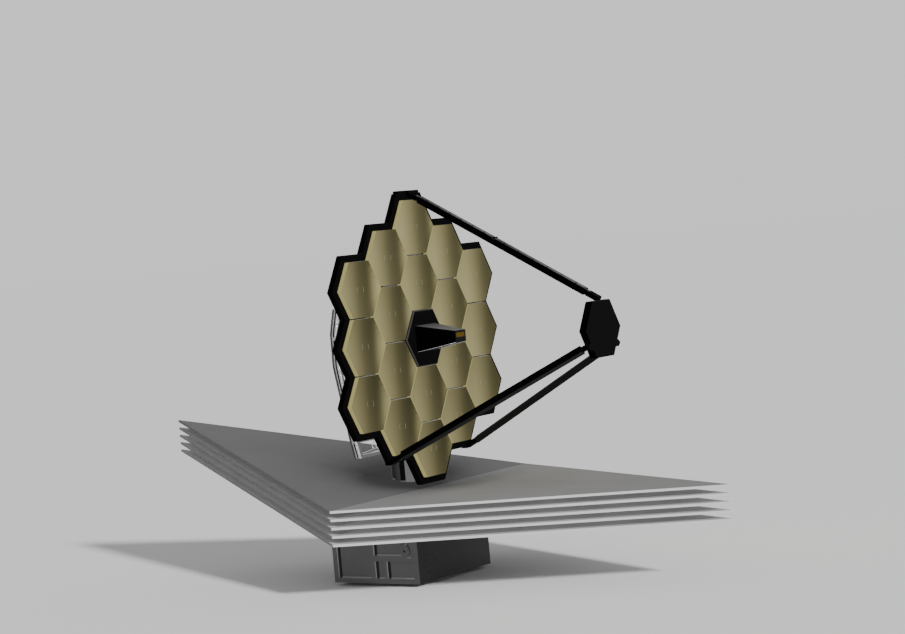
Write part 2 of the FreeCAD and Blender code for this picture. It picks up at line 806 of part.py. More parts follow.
save("adapter_ring", adapter_ring())
save("bus", bus())
save("shield_column", shield_column())
for number in range(layer_count):
    save("shield_layer_%d" % (number + 1), shield_layer(number))
save("fore_pallet", fore_pallet())
save("aft_pallet", aft_pallet())
save("mid_boom_left", mid_boom(1))
save("mid_boom_right", mid_boom(-1))
save("tower", tower())
save("backplane_centre", centre_backplane())
save("backplane_left", wing_backplane(1))
save("backplane_right", wing_backplane(-1))
blank = segment_blank()
for number, (column, row) in enumerate(mirror_cells((-2, -1, 0, 1, 2)), 1):
    segment = blank.copy()
    y, z = cell_centre(column, row)
    segment.translate(vec(mirror_x, y, z))
    save("segment_%02d" % number, segment)
save("bezel", bezel())
save("aft_optics", aft_optics())
save("optics_window", optics_window())
save("instrument_box", instrument_box())
save("instrument_hoop", instrument_hoop())
save("upper_strut_inner", upper_strut_inner())
save("upper_strut_outer", upper_strut_outer())
save("lower_strut_left", lower_strut(1))
save("lower_strut_right", lower_strut(-1))
save("secondary_housing", secondary_housing())
save("secondary_mirror", secondary_mirror())
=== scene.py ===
import bmesh
import bpy
import json
import math
from mathutils import Matrix, Vector, noise


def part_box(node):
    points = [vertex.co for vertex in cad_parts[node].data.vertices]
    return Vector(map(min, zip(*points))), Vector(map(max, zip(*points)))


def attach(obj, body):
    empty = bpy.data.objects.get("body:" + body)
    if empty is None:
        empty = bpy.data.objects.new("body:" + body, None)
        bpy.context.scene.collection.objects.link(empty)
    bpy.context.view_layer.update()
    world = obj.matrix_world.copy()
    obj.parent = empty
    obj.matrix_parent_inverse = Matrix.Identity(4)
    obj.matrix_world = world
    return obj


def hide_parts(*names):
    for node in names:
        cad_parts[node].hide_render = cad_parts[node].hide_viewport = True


# Space telescope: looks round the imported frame. Metres; +X is the way it looks, +Z is up.
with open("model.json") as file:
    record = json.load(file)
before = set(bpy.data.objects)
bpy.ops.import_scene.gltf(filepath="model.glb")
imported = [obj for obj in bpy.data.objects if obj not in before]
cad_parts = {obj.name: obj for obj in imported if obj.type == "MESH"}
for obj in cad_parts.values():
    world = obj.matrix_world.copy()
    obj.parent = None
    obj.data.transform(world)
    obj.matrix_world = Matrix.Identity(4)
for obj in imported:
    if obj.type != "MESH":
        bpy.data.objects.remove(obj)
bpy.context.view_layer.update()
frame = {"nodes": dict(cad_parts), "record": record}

# Places that this script takes from the solids
SHIELD_LAYERS = tuple("shield_layer_%d" % number for number in range(1, 6))
MIRROR_Z = 5.858
ROW_PITCH = 1.35
CREASE_X = 0.833
SHIELD_TOP = 2.229
SHIELD_AFT_SLOPE = 0.22103
FRAME_FRONT = 0.86
TOP_PIVOT = Vector((1.1, 0, 9.251))
KNEE_PIVOT = Vector((3.29138, 0, 8.13865))
NOSE_PIVOT = Vector((5.77, 0, 6.686))
STRUT_SIZE = 0.16
HOOP_BACK = -0.88
HOOP_DEPTH = 0.2
HOOP_MIDDLE = HOOP_BACK + HOOP_DEPTH / 2
HOOP_FOOT = 3.03
HOOP_HEIGHT = 3.7
HOOP_HALF_WIDTH = 1.33
HOOP_SHARES = ((0.60, 0.0), (0.70, 0.12), (0.88, 0.42), (1.0, 0.62), (1.0, 0.84), (0.86, 1.0))
HOOP_ARM_Z = (3.81, 5.98)
TOWER_RADIUS = 0.318
TOWER_SLOT_DEPTH = 0.06
TOWER_SLOT_WIDTH = 0.135
TOWER_SLOT_TOP = 3.37
TOWER_SLOT_ANGLES = (-63, 63, 117, 243)
TOWER_OPEN_SLOT = -63
NOSE_HALF_WIDTHS = (0.408, 0.213)
NOSE_DROPS = (0.320, 0.140)


# Shader helpers
def new_group(name, inputs, outputs):
    group = bpy.data.node_groups.new(name, "ShaderNodeTree")
    for label, value in inputs.items():
        socket = group.interface.new_socket(label, in_out="INPUT", socket_type="NodeSocketFloat")
        socket.default_value = value
    for label in outputs:
        group.interface.new_socket(label, in_out="OUTPUT", socket_type="NodeSocketFloat")
    return group, group.nodes.new("NodeGroupInput"), group.nodes.new("NodeGroupOutput")


def join(value, socket):
    """Links a socket to a socket, or sets a plain number or colour."""
    if hasattr(value, "links"):
        socket.id_data.links.new(value, socket)
    elif isinstance(value, tuple) and len(value) == 3 and len(socket.default_value) == 4:
        socket.default_value = (*value, 1)
    else:
        socket.default_value = value


def node_beside(kind, *values):
    """New node in the tree of the first of the values that is a socket."""
    return next(value.id_data for value in values if hasattr(value, "links")).nodes.new(kind)


def math_node(operation, first, second=0.0, clamp=False):
    node = node_beside("ShaderNodeMath", first, second)
    node.operation = operation
    node.use_clamp = clamp
    join(first, node.inputs[0])
    join(second, node.inputs[1])
    return node.outputs[0]


def times(first, second, clamp=False):
    return math_node("MULTIPLY", first, second, clamp)


def plus(first, second, clamp=False):
    return math_node("ADD", first, second, clamp)


def minus(first, second):
    return math_node("SUBTRACT", first, second)


def vector_node(operation, first, second, output):
    node = node_beside("ShaderNodeVectorMath", first)
    node.operation = operation
    join(first, node.inputs[0])
    join(second, node.inputs[1])
    return node.outputs[output]


def between(value, low, high):
    """0 at low, 1 at high, smooth between; low may be the larger one."""
    node = node_beside("ShaderNodeMapRange", value)
    node.interpolation_type = "SMOOTHSTEP"
    join(value, node.inputs["Value"])
    node.inputs["From Min"].default_value = low
    node.inputs["From Max"].default_value = high
    return node.outputs["Result"]


def mix_colour(factor, first, second):
    node = node_beside("ShaderNodeMix", factor)
    node.data_type = "RGBA"
    join(factor, node.inputs[0])
    join(first, node.inputs[6])
    join(second, node.inputs[7])
    return node.outputs[2]


def coordinate(tree, kind, axis):
    """One axis of the surface's place or direction."""
    place = tree.nodes.new("ShaderNodeTexCoord")
    apart = tree.nodes.new("ShaderNodeSeparateXYZ")
    join(place.outputs[kind], apart.inputs[0])
    return apart.outputs[axis]


# Shader groups
def grain_group():
    """Cloudy variation between 0 and 1, longer along X where Stretch is over 1."""
    group, start, end = new_group("Grain", {"Scale": 3.0, "Detail": 4.0, "Contrast": 1.0, "Stretch": 1.0},
                                  ["Value"])
    place = group.nodes.new("ShaderNodeTexCoord")
    squeeze = group.nodes.new("ShaderNodeCombineXYZ")
    join(math_node("DIVIDE", 1.0, start.outputs["Stretch"]), squeeze.inputs["X"])
    squeeze.inputs["Y"].default_value = 1
    squeeze.inputs["Z"].default_value = 1
    cloud = group.nodes.new("ShaderNodeTexNoise")
    join(vector_node("MULTIPLY", place.outputs["Object"], squeeze.outputs[0], "Vector"),
         cloud.inputs["Vector"])
    join(start.outputs["Scale"], cloud.inputs["Scale"])
    join(start.outputs["Detail"], cloud.inputs["Detail"])
    scaled = times(minus(cloud.outputs["Fac"], 0.5), start.outputs["Contrast"])
    join(plus(scaled, 0.5, clamp=True), end.inputs["Value"])
    return group


def edge_group():
    """Mask that is 1 on sharp edges and 0 on flats."""
    group, start, end = new_group("Edge wear", {"Radius": 0.01, "Strength": 6.0}, ["Mask"])
    rounded = group.nodes.new("ShaderNodeBevel")
    rounded.samples = 4
    join(start.outputs["Radius"], rounded.inputs["Radius"])
    flat = group.nodes.new("ShaderNodeNewGeometry")
    alike = vector_node("DOT_PRODUCT", rounded.outputs["Normal"], flat.outputs["Normal"], "Value")
    bent = times(minus(1.0, alike), start.outputs["Strength"], clamp=True)
    join(bent, end.inputs["Mask"])
    return group


def crinkle_group():
    """Sharp facets and folds of crumpled foil, as a height."""
    group, start, end = new_group("Crinkle", {"Scale": 6.0, "Fineness": 3.0}, ["Height"])
    place = group.nodes.new("ShaderNodeTexCoord")
    heights = []
    for share, spread in ((1.0, 0.7), (2.3, 0.3)):
        cells = group.nodes.new("ShaderNodeTexVoronoi")
        join(place.outputs["Object"], cells.inputs["Vector"])
        join(times(start.outputs["Scale"], share), cells.inputs["Scale"])
        join(start.outputs["Fineness"], cells.inputs["Detail"])
        heights.append(times(cells.outputs["Distance"], spread))
    join(plus(*heights), end.inputs["Height"])
    return group


def weave_group():
    """Crossed tows of carbon cloth, 0 to 1."""
    group, start, end = new_group("Weave", {"Scale": 60.0}, ["Value"])
    place = group.nodes.new("ShaderNodeTexCoord")
    tows = []
    for direction in ("X", "Z"):
        wave = group.nodes.new("ShaderNodeTexWave")
        wave.bands_direction = direction
        wave.inputs["Distortion"].default_value = 0.3
        join(place.outputs["Object"], wave.inputs["Vector"])
        join(start.outputs["Scale"], wave.inputs["Scale"])
        tows.append(wave.outputs["Fac"])
    join(times(*tows), end.inputs["Value"])
    return group


def seam_group():
    """Thin lines at an even pitch across X and across Y, 1 on a line."""
    group, start, end = new_group("Seams", {"Pitch": 1.0, "Width": 0.02}, ["Mask"])
    lines = []
    for axis in ("X", "Y"):
        steps = math_node("DIVIDE", coordinate(group, "Object", axis), start.outputs["Pitch"])
        off = math_node("ABSOLUTE", minus(math_node("FRACT", steps), 0.5))
        span = times(off, start.outputs["Pitch"])
        lines.append(math_node("LESS_THAN", span, start.outputs["Width"]))
    join(math_node("MAXIMUM", *lines), end.inputs["Mask"])
    return group


GRAIN = grain_group()
EDGE = edge_group()
CRINKLE = crinkle_group()
WEAVE = weave_group()
SEAMS = seam_group()


def use(tree, group, **values):
    node = tree.nodes.new("ShaderNodeGroup")
    node.node_tree = group
    for label, value in values.items():
        node.inputs[label].default_value = value
    return node.outputs[0]


def bump(shader, height, strength, distance):
    node = node_beside("ShaderNodeBump", height)
    node.inputs["Strength"].default_value = strength
    node.inputs["Distance"].default_value = distance
    join(height, node.inputs["Height"])
    join(node.outputs["Normal"], shader.inputs["Normal"])


def new_material(name, metallic=0.0, ior=1.5):
    material = bpy.data.materials.new(name)
    material.use_nodes = True
    shader = material.node_tree.nodes["Principled BSDF"]
    shader.inputs["Metallic"].default_value = metallic
    shader.inputs["IOR"].default_value = ior
    return material, material.node_tree, shader


def coat(shader, colour, rough, spread, scale, stretch=1.0):
    """Base colour, and a roughness that drifts round a middle value."""
    join(colour, shader.inputs["Base Color"])
    cloud = use(shader.id_data, GRAIN, Scale=scale, Detail=4.0, Stretch=stretch)
    swing = times(minus(cloud, 0.5), spread)
    join(plus(swing, rough), shader.inputs["Roughness"])


def facing(tree, axis, low, high):
    """Mask from 0 to 1 as the piece's own face turns along one of its axes."""
    return between(coordinate(tree, "Normal", axis), low, high)


def along(tree, axis, low, high):
    """Mask from 0 to 1 between two places on one axis."""
    return between(coordinate(tree, "Object", axis), low, high)


def grey(shade):
    return (shade, shade, shade)


def tint(colour, share):
    return tuple(share * c for c in colour)


def clouded(tree, colour, dim, scale, detail=4.0, contrast=1.0):
    """The colour, dimmed to a share of itself in cloudy patches."""
    cloud = use(tree, GRAIN, Scale=scale, Detail=detail, Contrast=contrast)
    return mix_colour(cloud, tint(colour, dim), colour)


# Finishes
# Painted light and shade on the layers' upright cut edges: bright on the fore edges, dark on the aft ones.
PAINTED_LIGHT_HEM_FORE = grey(0.52)
PAINTED_SHADE_HEM_AFT = grey(0.15)
CREASE_BLUR = 0.004
SEAM_PITCH = 1.35
SEAM_WIDTH = 0.008
# Painted shade round the mirror's foot on the top layer: how far the occlusion test looks, how much deeper
# the shade grows to the left, and how it fades ahead of the crease.
PAINTED_SHADE_REACH = 12.0
PAINTED_SHADE_LEFT = 2.0
PAINTED_SHADE_LEFT_START = -2.5
PAINTED_SHADE_LEFT_FULL = 0.8
PAINTED_SHADE_RIGHT = 0.6
PAINTED_SHADE_AHEAD = 0.55
PAINTED_SHADE_AHEAD_RUN = 1.6


def machined_metal(name, colour, worn, rough=0.32):
    """Turned or milled metal with fine tool marks and brighter edges."""
    material, tree, shader = new_material(name, metallic=1.0)
    marks = use(tree, GRAIN, Scale=90.0, Detail=2.0, Contrast=1.2, Stretch=12.0)
    base = clouded(tree, colour, dim=0.85, scale=4.0, detail=3.0)
    base = mix_colour(use(tree, EDGE, Radius=0.008, Strength=4.0), base, worn)
    coat(shader, base, rough, spread=0.16, scale=30.0, stretch=8.0)
    bump(shader, marks, strength=0.15, distance=0.002)
    return material


def black_composite(name, colour, worn, front=None, lower=None, upper=None, ior=1.05, weave=0.35):
    """Carbon laminate: faint weave, resin-rich patches, greyer edges, and faces of another shade."""
    material, tree, shader = new_material(name, ior=ior)
    cloth = use(tree, WEAVE, Scale=26.0)
    base = clouded(tree, colour, dim=0.6, scale=2.5, detail=5.0, contrast=1.6)
    base = mix_colour(times(cloth, weave), base, tint(colour, 1.7))
    # Where upper is given, the upward faces are painted lighter as a painted sheen.
    for shade, axis, low, high in ((front, "X", 0.8, 0.95), (upper, "Z", 0.7, 0.85),
                                   (lower, "Z", -0.2, -0.5)):
        if shade:
            base = mix_colour(facing(tree, axis, low, high), base, shade)
    base = mix_colour(use(tree, EDGE, Radius=0.012, Strength=1.5), base, worn)
    coat(shader, base, rough=0.45, spread=0.2, scale=9.0)
    bump(shader, cloth, strength=0.2, distance=0.0015)
    return material


def bezel_baffle(name, flat, rim):
    """Flat black plate whose bevelled rim is painted greyer as a painted highlight."""
    material, tree, shader = new_material(name, ior=1.05)
    bevel = times(facing(tree, "X", 0.4, 0.6), facing(tree, "X", 0.9, 0.8))
    base = clouded(tree, flat, dim=0.7, scale=3.0, contrast=1.5)
    coat(shader, mix_colour(bevel, base, rim), rough=0.5, spread=0.2, scale=9.0)
    bump(shader, use(tree, GRAIN, Scale=90.0, Detail=2.0), strength=0.15, distance=0.001)
    return material


def nose_baffle(name, side, top, front):
    """Black baffle whose top faces are painted grey in streaks along it as a painted sheen, dimmer towards
    its back end.
    """
    material, tree, shader = new_material(name, ior=1.05)
    streak = use(tree, GRAIN, Scale=16.0, Detail=3.0, Contrast=2.2, Stretch=9.0)
    # Painted sheen: the top faces are grey in streaks along X, dimmer towards the back end.
    lit = mix_colour(streak, tint(top, 0.55), tint(top, 1.15))
    lit = mix_colour(along(tree, "X", 1.0, 1.7), tint(top, 0.35), lit)
    base = mix_colour(facing(tree, "Z", 0.5, 0.8), side, lit)
    base = mix_colour(facing(tree, "X", 0.8, 0.95), base, front)
    coat(shader, base, rough=0.5, spread=0.2, scale=9.0)
    bump(shader, streak, strength=0.2, distance=0.004)
    return material


def painted_panel(name, colour, worn, ahead=None):
    """Satin paint on sheet: faint clouds, scuffs and rubbed edges; where ahead is given, the face towards +X
    is painted darker, darkest towards -Y, as painted shade.
    """
    material, tree, shader = new_material(name, ior=1.2)
    base = clouded(tree, colour, dim=0.85, scale=1.3, detail=6.0, contrast=1.3)
    if ahead:
        # Painted shade: the face towards +X is darkened, most towards -Y.
        painted_shade_end = mix_colour(along(tree, "Y", -1.5, 1.5), ahead, tint(ahead, 3.3))
        base = mix_colour(facing(tree, "X", 0.7, 0.9), base, painted_shade_end)
    streak = use(tree, GRAIN, Scale=14.0, Detail=2.0, Contrast=1.8, Stretch=0.15)
    base = mix_colour(times(streak, 0.2), base, tint(colour, 1.2))
    base = mix_colour(use(tree, EDGE, Radius=0.012, Strength=2.0), base, worn)
    coat(shader, base, rough=0.5, spread=0.18, scale=7.0)
    bump(shader, use(tree, GRAIN, Scale=120.0, Detail=2.0), strength=0.12, distance=0.001)
    return material


def blanket(name, colour, worn, ahead=None):
    """Wrapped blanket: soft dents and a dull sheen; where ahead is given, the faces towards +X are painted
    lighter as painted light.
    """
    material, tree, shader = new_material(name, ior=1.08)
    base = clouded(tree, colour, dim=0.8, scale=2.0, detail=5.0, contrast=1.4)
    if ahead:
        # Painted light: the faces towards +X are lighter.
        base = mix_colour(facing(tree, "X", 0.38, 0.55), base, ahead)
    base = mix_colour(use(tree, EDGE, Radius=0.02, Strength=2.0), base, worn)
    coat(shader, base, rough=0.5, spread=0.2, scale=8.0)
    bump(shader, use(tree, CRINKLE, Scale=4.0, Fineness=1.0), strength=0.15, distance=0.015)
    return material


def crinkled_foil(name, colour, rough=0.24, scale=7.0, strength=0.7):
    """Crumpled metal foil in sharp facets."""
    material, tree, shader = new_material(name, metallic=1.0)
    base = clouded(tree, colour, dim=0.72, scale=5.0, contrast=1.5)
    coat(shader, base, rough, spread=0.18, scale=12.0)
    bump(shader, use(tree, CRINKLE, Scale=scale, Fineness=2.0), strength, distance=0.03)
    return material


def amber_glass(name, dark, light):
    """Amber coated window, seen as a dark glossy pane."""
    material, tree, shader = new_material(name, ior=1.15)
    cloud = use(tree, GRAIN, Scale=8.0, Detail=3.0, Contrast=1.2)
    coat(shader, mix_colour(cloud, dark, light), rough=0.3, spread=0.08, scale=9.0)
    shader.inputs["Coat Weight"].default_value = 0.05
    return material


def gold_coating(name, gold, cut, bare):
    """Polished gold on the face, the same coat duller round the sides, bare metal at the back."""
    material, tree, shader = new_material(name, metallic=1.0)
    front = facing(tree, "X", 0.6, 0.9)
    sides = mix_colour(facing(tree, "Z", 0.9, 0.97), cut, tint(cut, 0.35))
    base = mix_colour(front, sides, clouded(tree, gold, dim=0.985, scale=1.6, contrast=1.2))
    base = mix_colour(facing(tree, "X", -0.6, -0.9), base, bare)
    join(base, shader.inputs["Base Color"])
    cloud = use(tree, GRAIN, Scale=4.0, Detail=4.0)
    gloss = plus(times(cloud, 0.02), 0.05)
    dull = times(minus(1.0, front), 0.3)
    join(plus(gloss, dull), shader.inputs["Roughness"])
    return material


def painted_shade_share(tree, least):
    """Painted shade on the film: a colour share that is least where the mirror and nearby pieces close over
    it, and less to the left (+Y).
    """
    open_sky = tree.nodes.new("ShaderNodeAmbientOcclusion")
    open_sky.samples = 12
    open_sky.inputs["Distance"].default_value = PAINTED_SHADE_REACH
    hidden = between(open_sky.outputs["AO"], 0.95, 0.0)
    leftward = times(along(tree, "Y", PAINTED_SHADE_LEFT_START, PAINTED_SHADE_LEFT_FULL), PAINTED_SHADE_LEFT)
    ahead = times(along(tree, "X", CREASE_X, CREASE_X + PAINTED_SHADE_AHEAD_RUN), PAINTED_SHADE_AHEAD)
    reach = times(plus(leftward, PAINTED_SHADE_RIGHT), minus(1.0, ahead))
    return math_node("MAXIMUM", minus(1.0, times(hidden, reach)), least)


def coated_film(name, fore, aft, painted_shade_least=0.0, ior=1.12):
    """Coated film with bonded seams and slow ripples; its upright cut edges carry painted light (brighter
    fore, darker aft), its aft half carries painted shade, and it carries painted shade where things close
    over it.
    """
    material, tree, shader = new_material(name, ior=ior)
    upright = between(math_node("ABSOLUTE", coordinate(tree, "Normal", "Z")), 0.6, 0.3)
    # Painted shade: aft of the crease, the film takes the darker aft colour.
    astern = along(tree, "X", CREASE_X + CREASE_BLUR, CREASE_X - CREASE_BLUR)
    cloud = use(tree, GRAIN, Scale=0.5, Detail=5.0, Contrast=1.2)
    base = mix_colour(times(cloud, 0.12), mix_colour(astern, fore, aft), tint(fore, 0.3))
    seams = use(tree, SEAMS, Pitch=SEAM_PITCH, Width=SEAM_WIDTH)
    base = mix_colour(times(seams, 0.12), base, tint(fore, 0.5))
    # Painted shade: the film's colour is darkened where the mirror and nearby pieces close over it.
    if painted_shade_least:
        base = mix_colour(painted_shade_share(tree, painted_shade_least), grey(0.0), base)
    # Painted light and shade on the upright cut edges: bright fore, dark aft.
    base = mix_colour(upright, base, mix_colour(astern, PAINTED_LIGHT_HEM_FORE, PAINTED_SHADE_HEM_AFT))
    coat(shader, base, rough=0.55, spread=0.16, scale=1.1)
    ripple = use(tree, GRAIN, Scale=1.1, Detail=3.0, Stretch=2.5)
    bump(shader, ripple, strength=0.15, distance=0.02)
    return material


GREY_BLACK = (0.0022, 0.0022, 0.0023)
DEEP_BLACK = grey(0.0006)
COMPOSITE = (0.06, 0.06, 0.063)
WORN_COMPOSITE = (0.12, 0.12, 0.125)
MARK_GREY = (0.50, 0.48, 0.36)
# One for each of the record's slots, then those of single nodes and pieces. Where the frame has a
# material of that name, Blender adds a number to the new one's name, which is left off here.
FINISHES = {finish.name.split(".")[0]: finish for finish in (
    machined_metal("ring_metal", (0.60, 0.61, 0.62), grey(0.8)),
    # The bus's +X end carries painted shade through ahead, darkest towards -Y.
    painted_panel("bus_panel", (0.138, 0.138, 0.14), (0.2, 0.2, 0.205), ahead=(0.035, 0.035, 0.036)),
    black_composite("column_composite", COMPOSITE, WORN_COMPOSITE, ior=1.3),
    black_composite("boom_composite", COMPOSITE, WORN_COMPOSITE, ior=1.3),
    # The tower's lighter +X side is painted light, through ahead.
    blanket("tower_wrap", (0.045, 0.045, 0.046), grey(0.06), ahead=grey(0.11)),
    black_composite("backplane_black", DEEP_BLACK, GREY_BLACK, front=(0.0026, 0.0026, 0.0027)),
    black_composite("baffle_black", DEEP_BLACK, GREY_BLACK, front=grey(0.0042), weave=0.1),
    black_composite("strut_black", DEEP_BLACK, GREY_BLACK, lower=(0.02, 0.02, 0.021)),
    amber_glass("amber_window", (0.065, 0.037, 0.004), (0.085, 0.049, 0.005)),
    crinkled_foil("foil_wrap", (0.62, 0.63, 0.64)),
    machined_metal("silver_frame", (0.46, 0.46, 0.465), grey(0.6), rough=0.3),
    gold_coating("gold_mirror", (0.775, 0.70, 0.345), (0.49, 0.44, 0.178), (0.30, 0.30, 0.31)),
    # Top layer: its aft half takes the darker colour as painted shade, with painted shade round the mirror's
    # foot.
    coated_film("shield_film", grey(0.198), grey(0.111), painted_shade_least=0.12),
    # Lower layers: film painted far paler than the top layer's, as painted light on the faces seen in the
    # gaps between the layers.
    coated_film("inner_film_painted_light", grey(0.40), grey(0.40), ior=1.4),
    # The bezel's grey rim is a painted highlight.
    bezel_baffle("bezel_black", (0.0036, 0.0036, 0.0038), (0.036, 0.036, 0.037)),
    # The nose's grey, streaked top is a painted sheen.
    nose_baffle("nose_black", side=grey(0.0005), top=grey(0.10), front=grey(0.009)),
    # The upper struts' lighter upward faces are a painted sheen.
    black_composite("upper_strut_black_painted_sheen", DEEP_BLACK, GREY_BLACK, upper=grey(0.06)),
    machined_metal("mirror_mark", MARK_GREY, MARK_GREY, rough=0.5),
    crinkled_foil("bright_foil", grey(0.85), rough=0.3, scale=24.0, strength=1.0),
    crinkled_foil("dull_foil", grey(0.08), rough=0.35, scale=24.0, strength=0.8),
    black_composite("black_rubber", grey(0.005), grey(0.008), weave=0.0),
    # Dark seals: painted shade along each door recess's aft edge.
    painted_panel("door_seal_painted_shade", grey(0.016), grey(0.02)),
    painted_panel("pale_trim", (0.32, 0.32, 0.325), grey(0.38)),
    blanket("grey_lead", grey(0.10), grey(0.14)),
)}
NODE_FINISHES = {"bezel": "bezel_black", "aft_optics": "nose_black",
                 "upper_strut_inner": "upper_strut_black_painted_sheen", "upper_strut_outer": "upper_strut_black_painted_sheen",
                 **{layer: "inner_film_painted_light" for layer in SHIELD_LAYERS[1:]}}


def dress_frame():
    for part in frame["record"]["subparts"]:
        node = frame["nodes"][part["node"]]
        node.data.materials.clear()
        node.data.materials.append(FINISHES[NODE_FINISHES.get(part["node"], part["material_slot"])])
        node.visible_glossy = False


# Mesh helpers
class Stock:
    """Corners and faces of one piece, gathered shape by shape."""

    def __init__(self):
        self.points = []
        self.faces = []

    def add(self, points, faces):
        first = len(self.points)
        self.points += [Vector(p) for p in points]
        self.faces += [[first + i for i in face] for face in faces]

    def skin(self, rings):
        """Surface through rings of equally many corners, both ends capped."""
        count = len(rings[0])
        last = count * (len(rings) - 1)
        faces = [list(range(count))[::-1], list(range(last, last + count))]
        for first in range(0, last, count):
            for k in range(count):
                here, after = first + k, first + (k + 1) % count
                faces.append([here, after, after + count, here + count])
        self.add([p for ring in rings for p in ring], faces)

    def prism(self, outline, shift):
        """Closed outline swept along shift."""
        self.skin([outline, [Vector(p) + Vector(shift) for p in outline]])

    def block(self, low, high):
        (x0, y0, z0), (x1, y1, z1) = low, high
        self.prism([(x0, y0, z0), (x1, y0, z0), (x1, y1, z0), (x0, y1, z0)], (0, 0, z1 - z0))

    def bar(self, start, end, width, height, up=(1, 0, 0)):
        """Rectangular bar between two points."""
        start, end = Vector(start), Vector(end)
        ahead = (end - start).normalized()
        side = Vector(up).cross(ahead).normalized()
        rise = ahead.cross(side)
        corners = [start + side * (width / 2 * a) + rise * (height / 2 * b)
                   for a, b in ((-1, -1), (1, -1), (1, 1), (-1, 1))]
        self.prism(corners, end - start)

    def tube(self, path, radius, sides=8):
        """Round tube that follows a path of points."""
        turns = [math.tau * k / sides for k in range(sides)]
        rings = []
        side = None
        for i, point in enumerate(path):
            ahead = (path[min(i + 1, len(path) - 1)] - path[max(i - 1, 0)]).normalized()
            side = ahead.orthogonal() if side is None else side - ahead * side.dot(ahead)
            side.normalize()
            rise = ahead.cross(side)
            rings.append([point + (side * math.cos(turn) + rise * math.sin(turn)) * radius for turn in turns])
        self.skin(rings)

    def rod(self, start, end, radius, sides=12):
        self.tube([Vector(start), Vector(end)], radius, sides)

    def make(self, name, slot, finish=None, body="observatory", bevel=0.0, smooth=False):
        """Turns the gathered shapes into a piece that rides on a body."""
        mesh = bpy.data.meshes.new(name)
        mesh.from_pydata([tuple(p) for p in self.points], [], self.faces)
        mesh.validate()
        faces = bmesh.new()
        faces.from_mesh(mesh)
        bmesh.ops.recalc_face_normals(faces, faces=faces.faces)
        faces.to_mesh(mesh)
        faces.free()
        mesh.materials.append(FINISHES[finish or slot])
        for face in mesh.polygons:
            face.use_smooth = smooth
        piece = bpy.data.objects.new(name, mesh)
        piece.visible_glossy = False
        bpy.context.collection.objects.link(piece)
        if bevel:
            rounding = piece.modifiers.new("edges", "BEVEL")
            rounding.width = bevel
            rounding.segments = 2
            rounding.limit_method = "ANGLE"
        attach(piece, body)
        return piece


def box(node):
    low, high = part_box(node)
    return Vector(low), Vector(high)


def middle(node):
    low, high = box(node)
    return (low + high) / 2


def around(x, centre, radius, angle):
    """Point round a centre, in the plane across X."""
    return Vector((x, centre.y + radius * math.cos(angle), centre.z + radius * math.sin(angle)))


# Mirror
MARK_RADIUS = 0.123
MARK_WIDTH = 0.009
MARK_PROUD = 0.001
MARK_HALF_ANGLE = math.radians(32)
MARK_STEPS = 12
MIRROR_CURVE = 15.9
SEGMENT_FLATS = 1.32
MOUNT_FRAME_BACK = 0.06
MOUNT_FRAME_RADIUS = 0.36
MOUNT_FRAME_BAR = 0.04
MOUNT_PAD_DEPTH = 0.05
MOUNT_PAD_RADIUS = 0.03
MOUNT_FOOT_BACK = 0.125
MOUNT_FOOT_RADIUS = 0.55
MOUNT_FOOT_GRIP = 0.045
MOUNT_LEG_SWING = math.radians(22)
MOUNT_LEG_RADIUS = 0.013
MOUNT_MOTOR_RADIUS = 0.06
MOUNT_MOTOR_DEPTH = 0.13
MOUNT_MOTOR_SIDES = 16
MOUNT_CAP_RADIUS = 0.042
MOUNT_CAP_DEPTH = 0.01
MOUNT_SPREAD_REACH = 0.5
MOUNT_SPREAD_BACK = 0.02
MOUNT_SPREAD_WIDTH = 0.02
MOUNT_SPREAD_DEPTH = 0.012
GAP_FOIL_DEPTH = 0.02
GAP_FOIL_HEIGHT = 0.024
GAP_FOIL_STEPS = 16
GAP_FOIL_SPAN_SHARE = 0.9
SAME_PLACE = 0.1


def segments_by_body():
    """The segments' nodes, under the body that each one rides on."""
    bodies = frame["record"]["behaviour"]["bodies"]
    return {body: [n for n in nodes if n.startswith("segment_")] for body, nodes in bodies.items()}


def dish(radius):
    """How far the hollow face lies behind a segment's rim at a radius from its centre."""
    corner = SEGMENT_FLATS / math.sqrt(3)
    return (corner ** 2 - radius ** 2) / (2 * MIRROR_CURVE)


def segment_marks(body, nodes):
    """Two facing arcs at the middle of each segment."""
    stock = Stock()
    for node in nodes:
        centre = middle(node)
        rim_x = box(node)[1].x
        for turn in (0, math.pi):
            outline = []
            for radius, way in ((MARK_RADIUS, 1), (MARK_RADIUS - MARK_WIDTH, -1)):
                x = rim_x - dish(radius) - MARK_PROUD
                for step in range(MARK_STEPS + 1):
                    angle = turn + way * MARK_HALF_ANGLE * (2 * step / MARK_STEPS - 1)
                    outline.append(around(x, centre, radius, angle))
            stock.prism(outline, (2 * MARK_PROUD, 0, 0))
    stock.make("segment_marks_" + body, "gold_mirror", "mirror_mark", body)


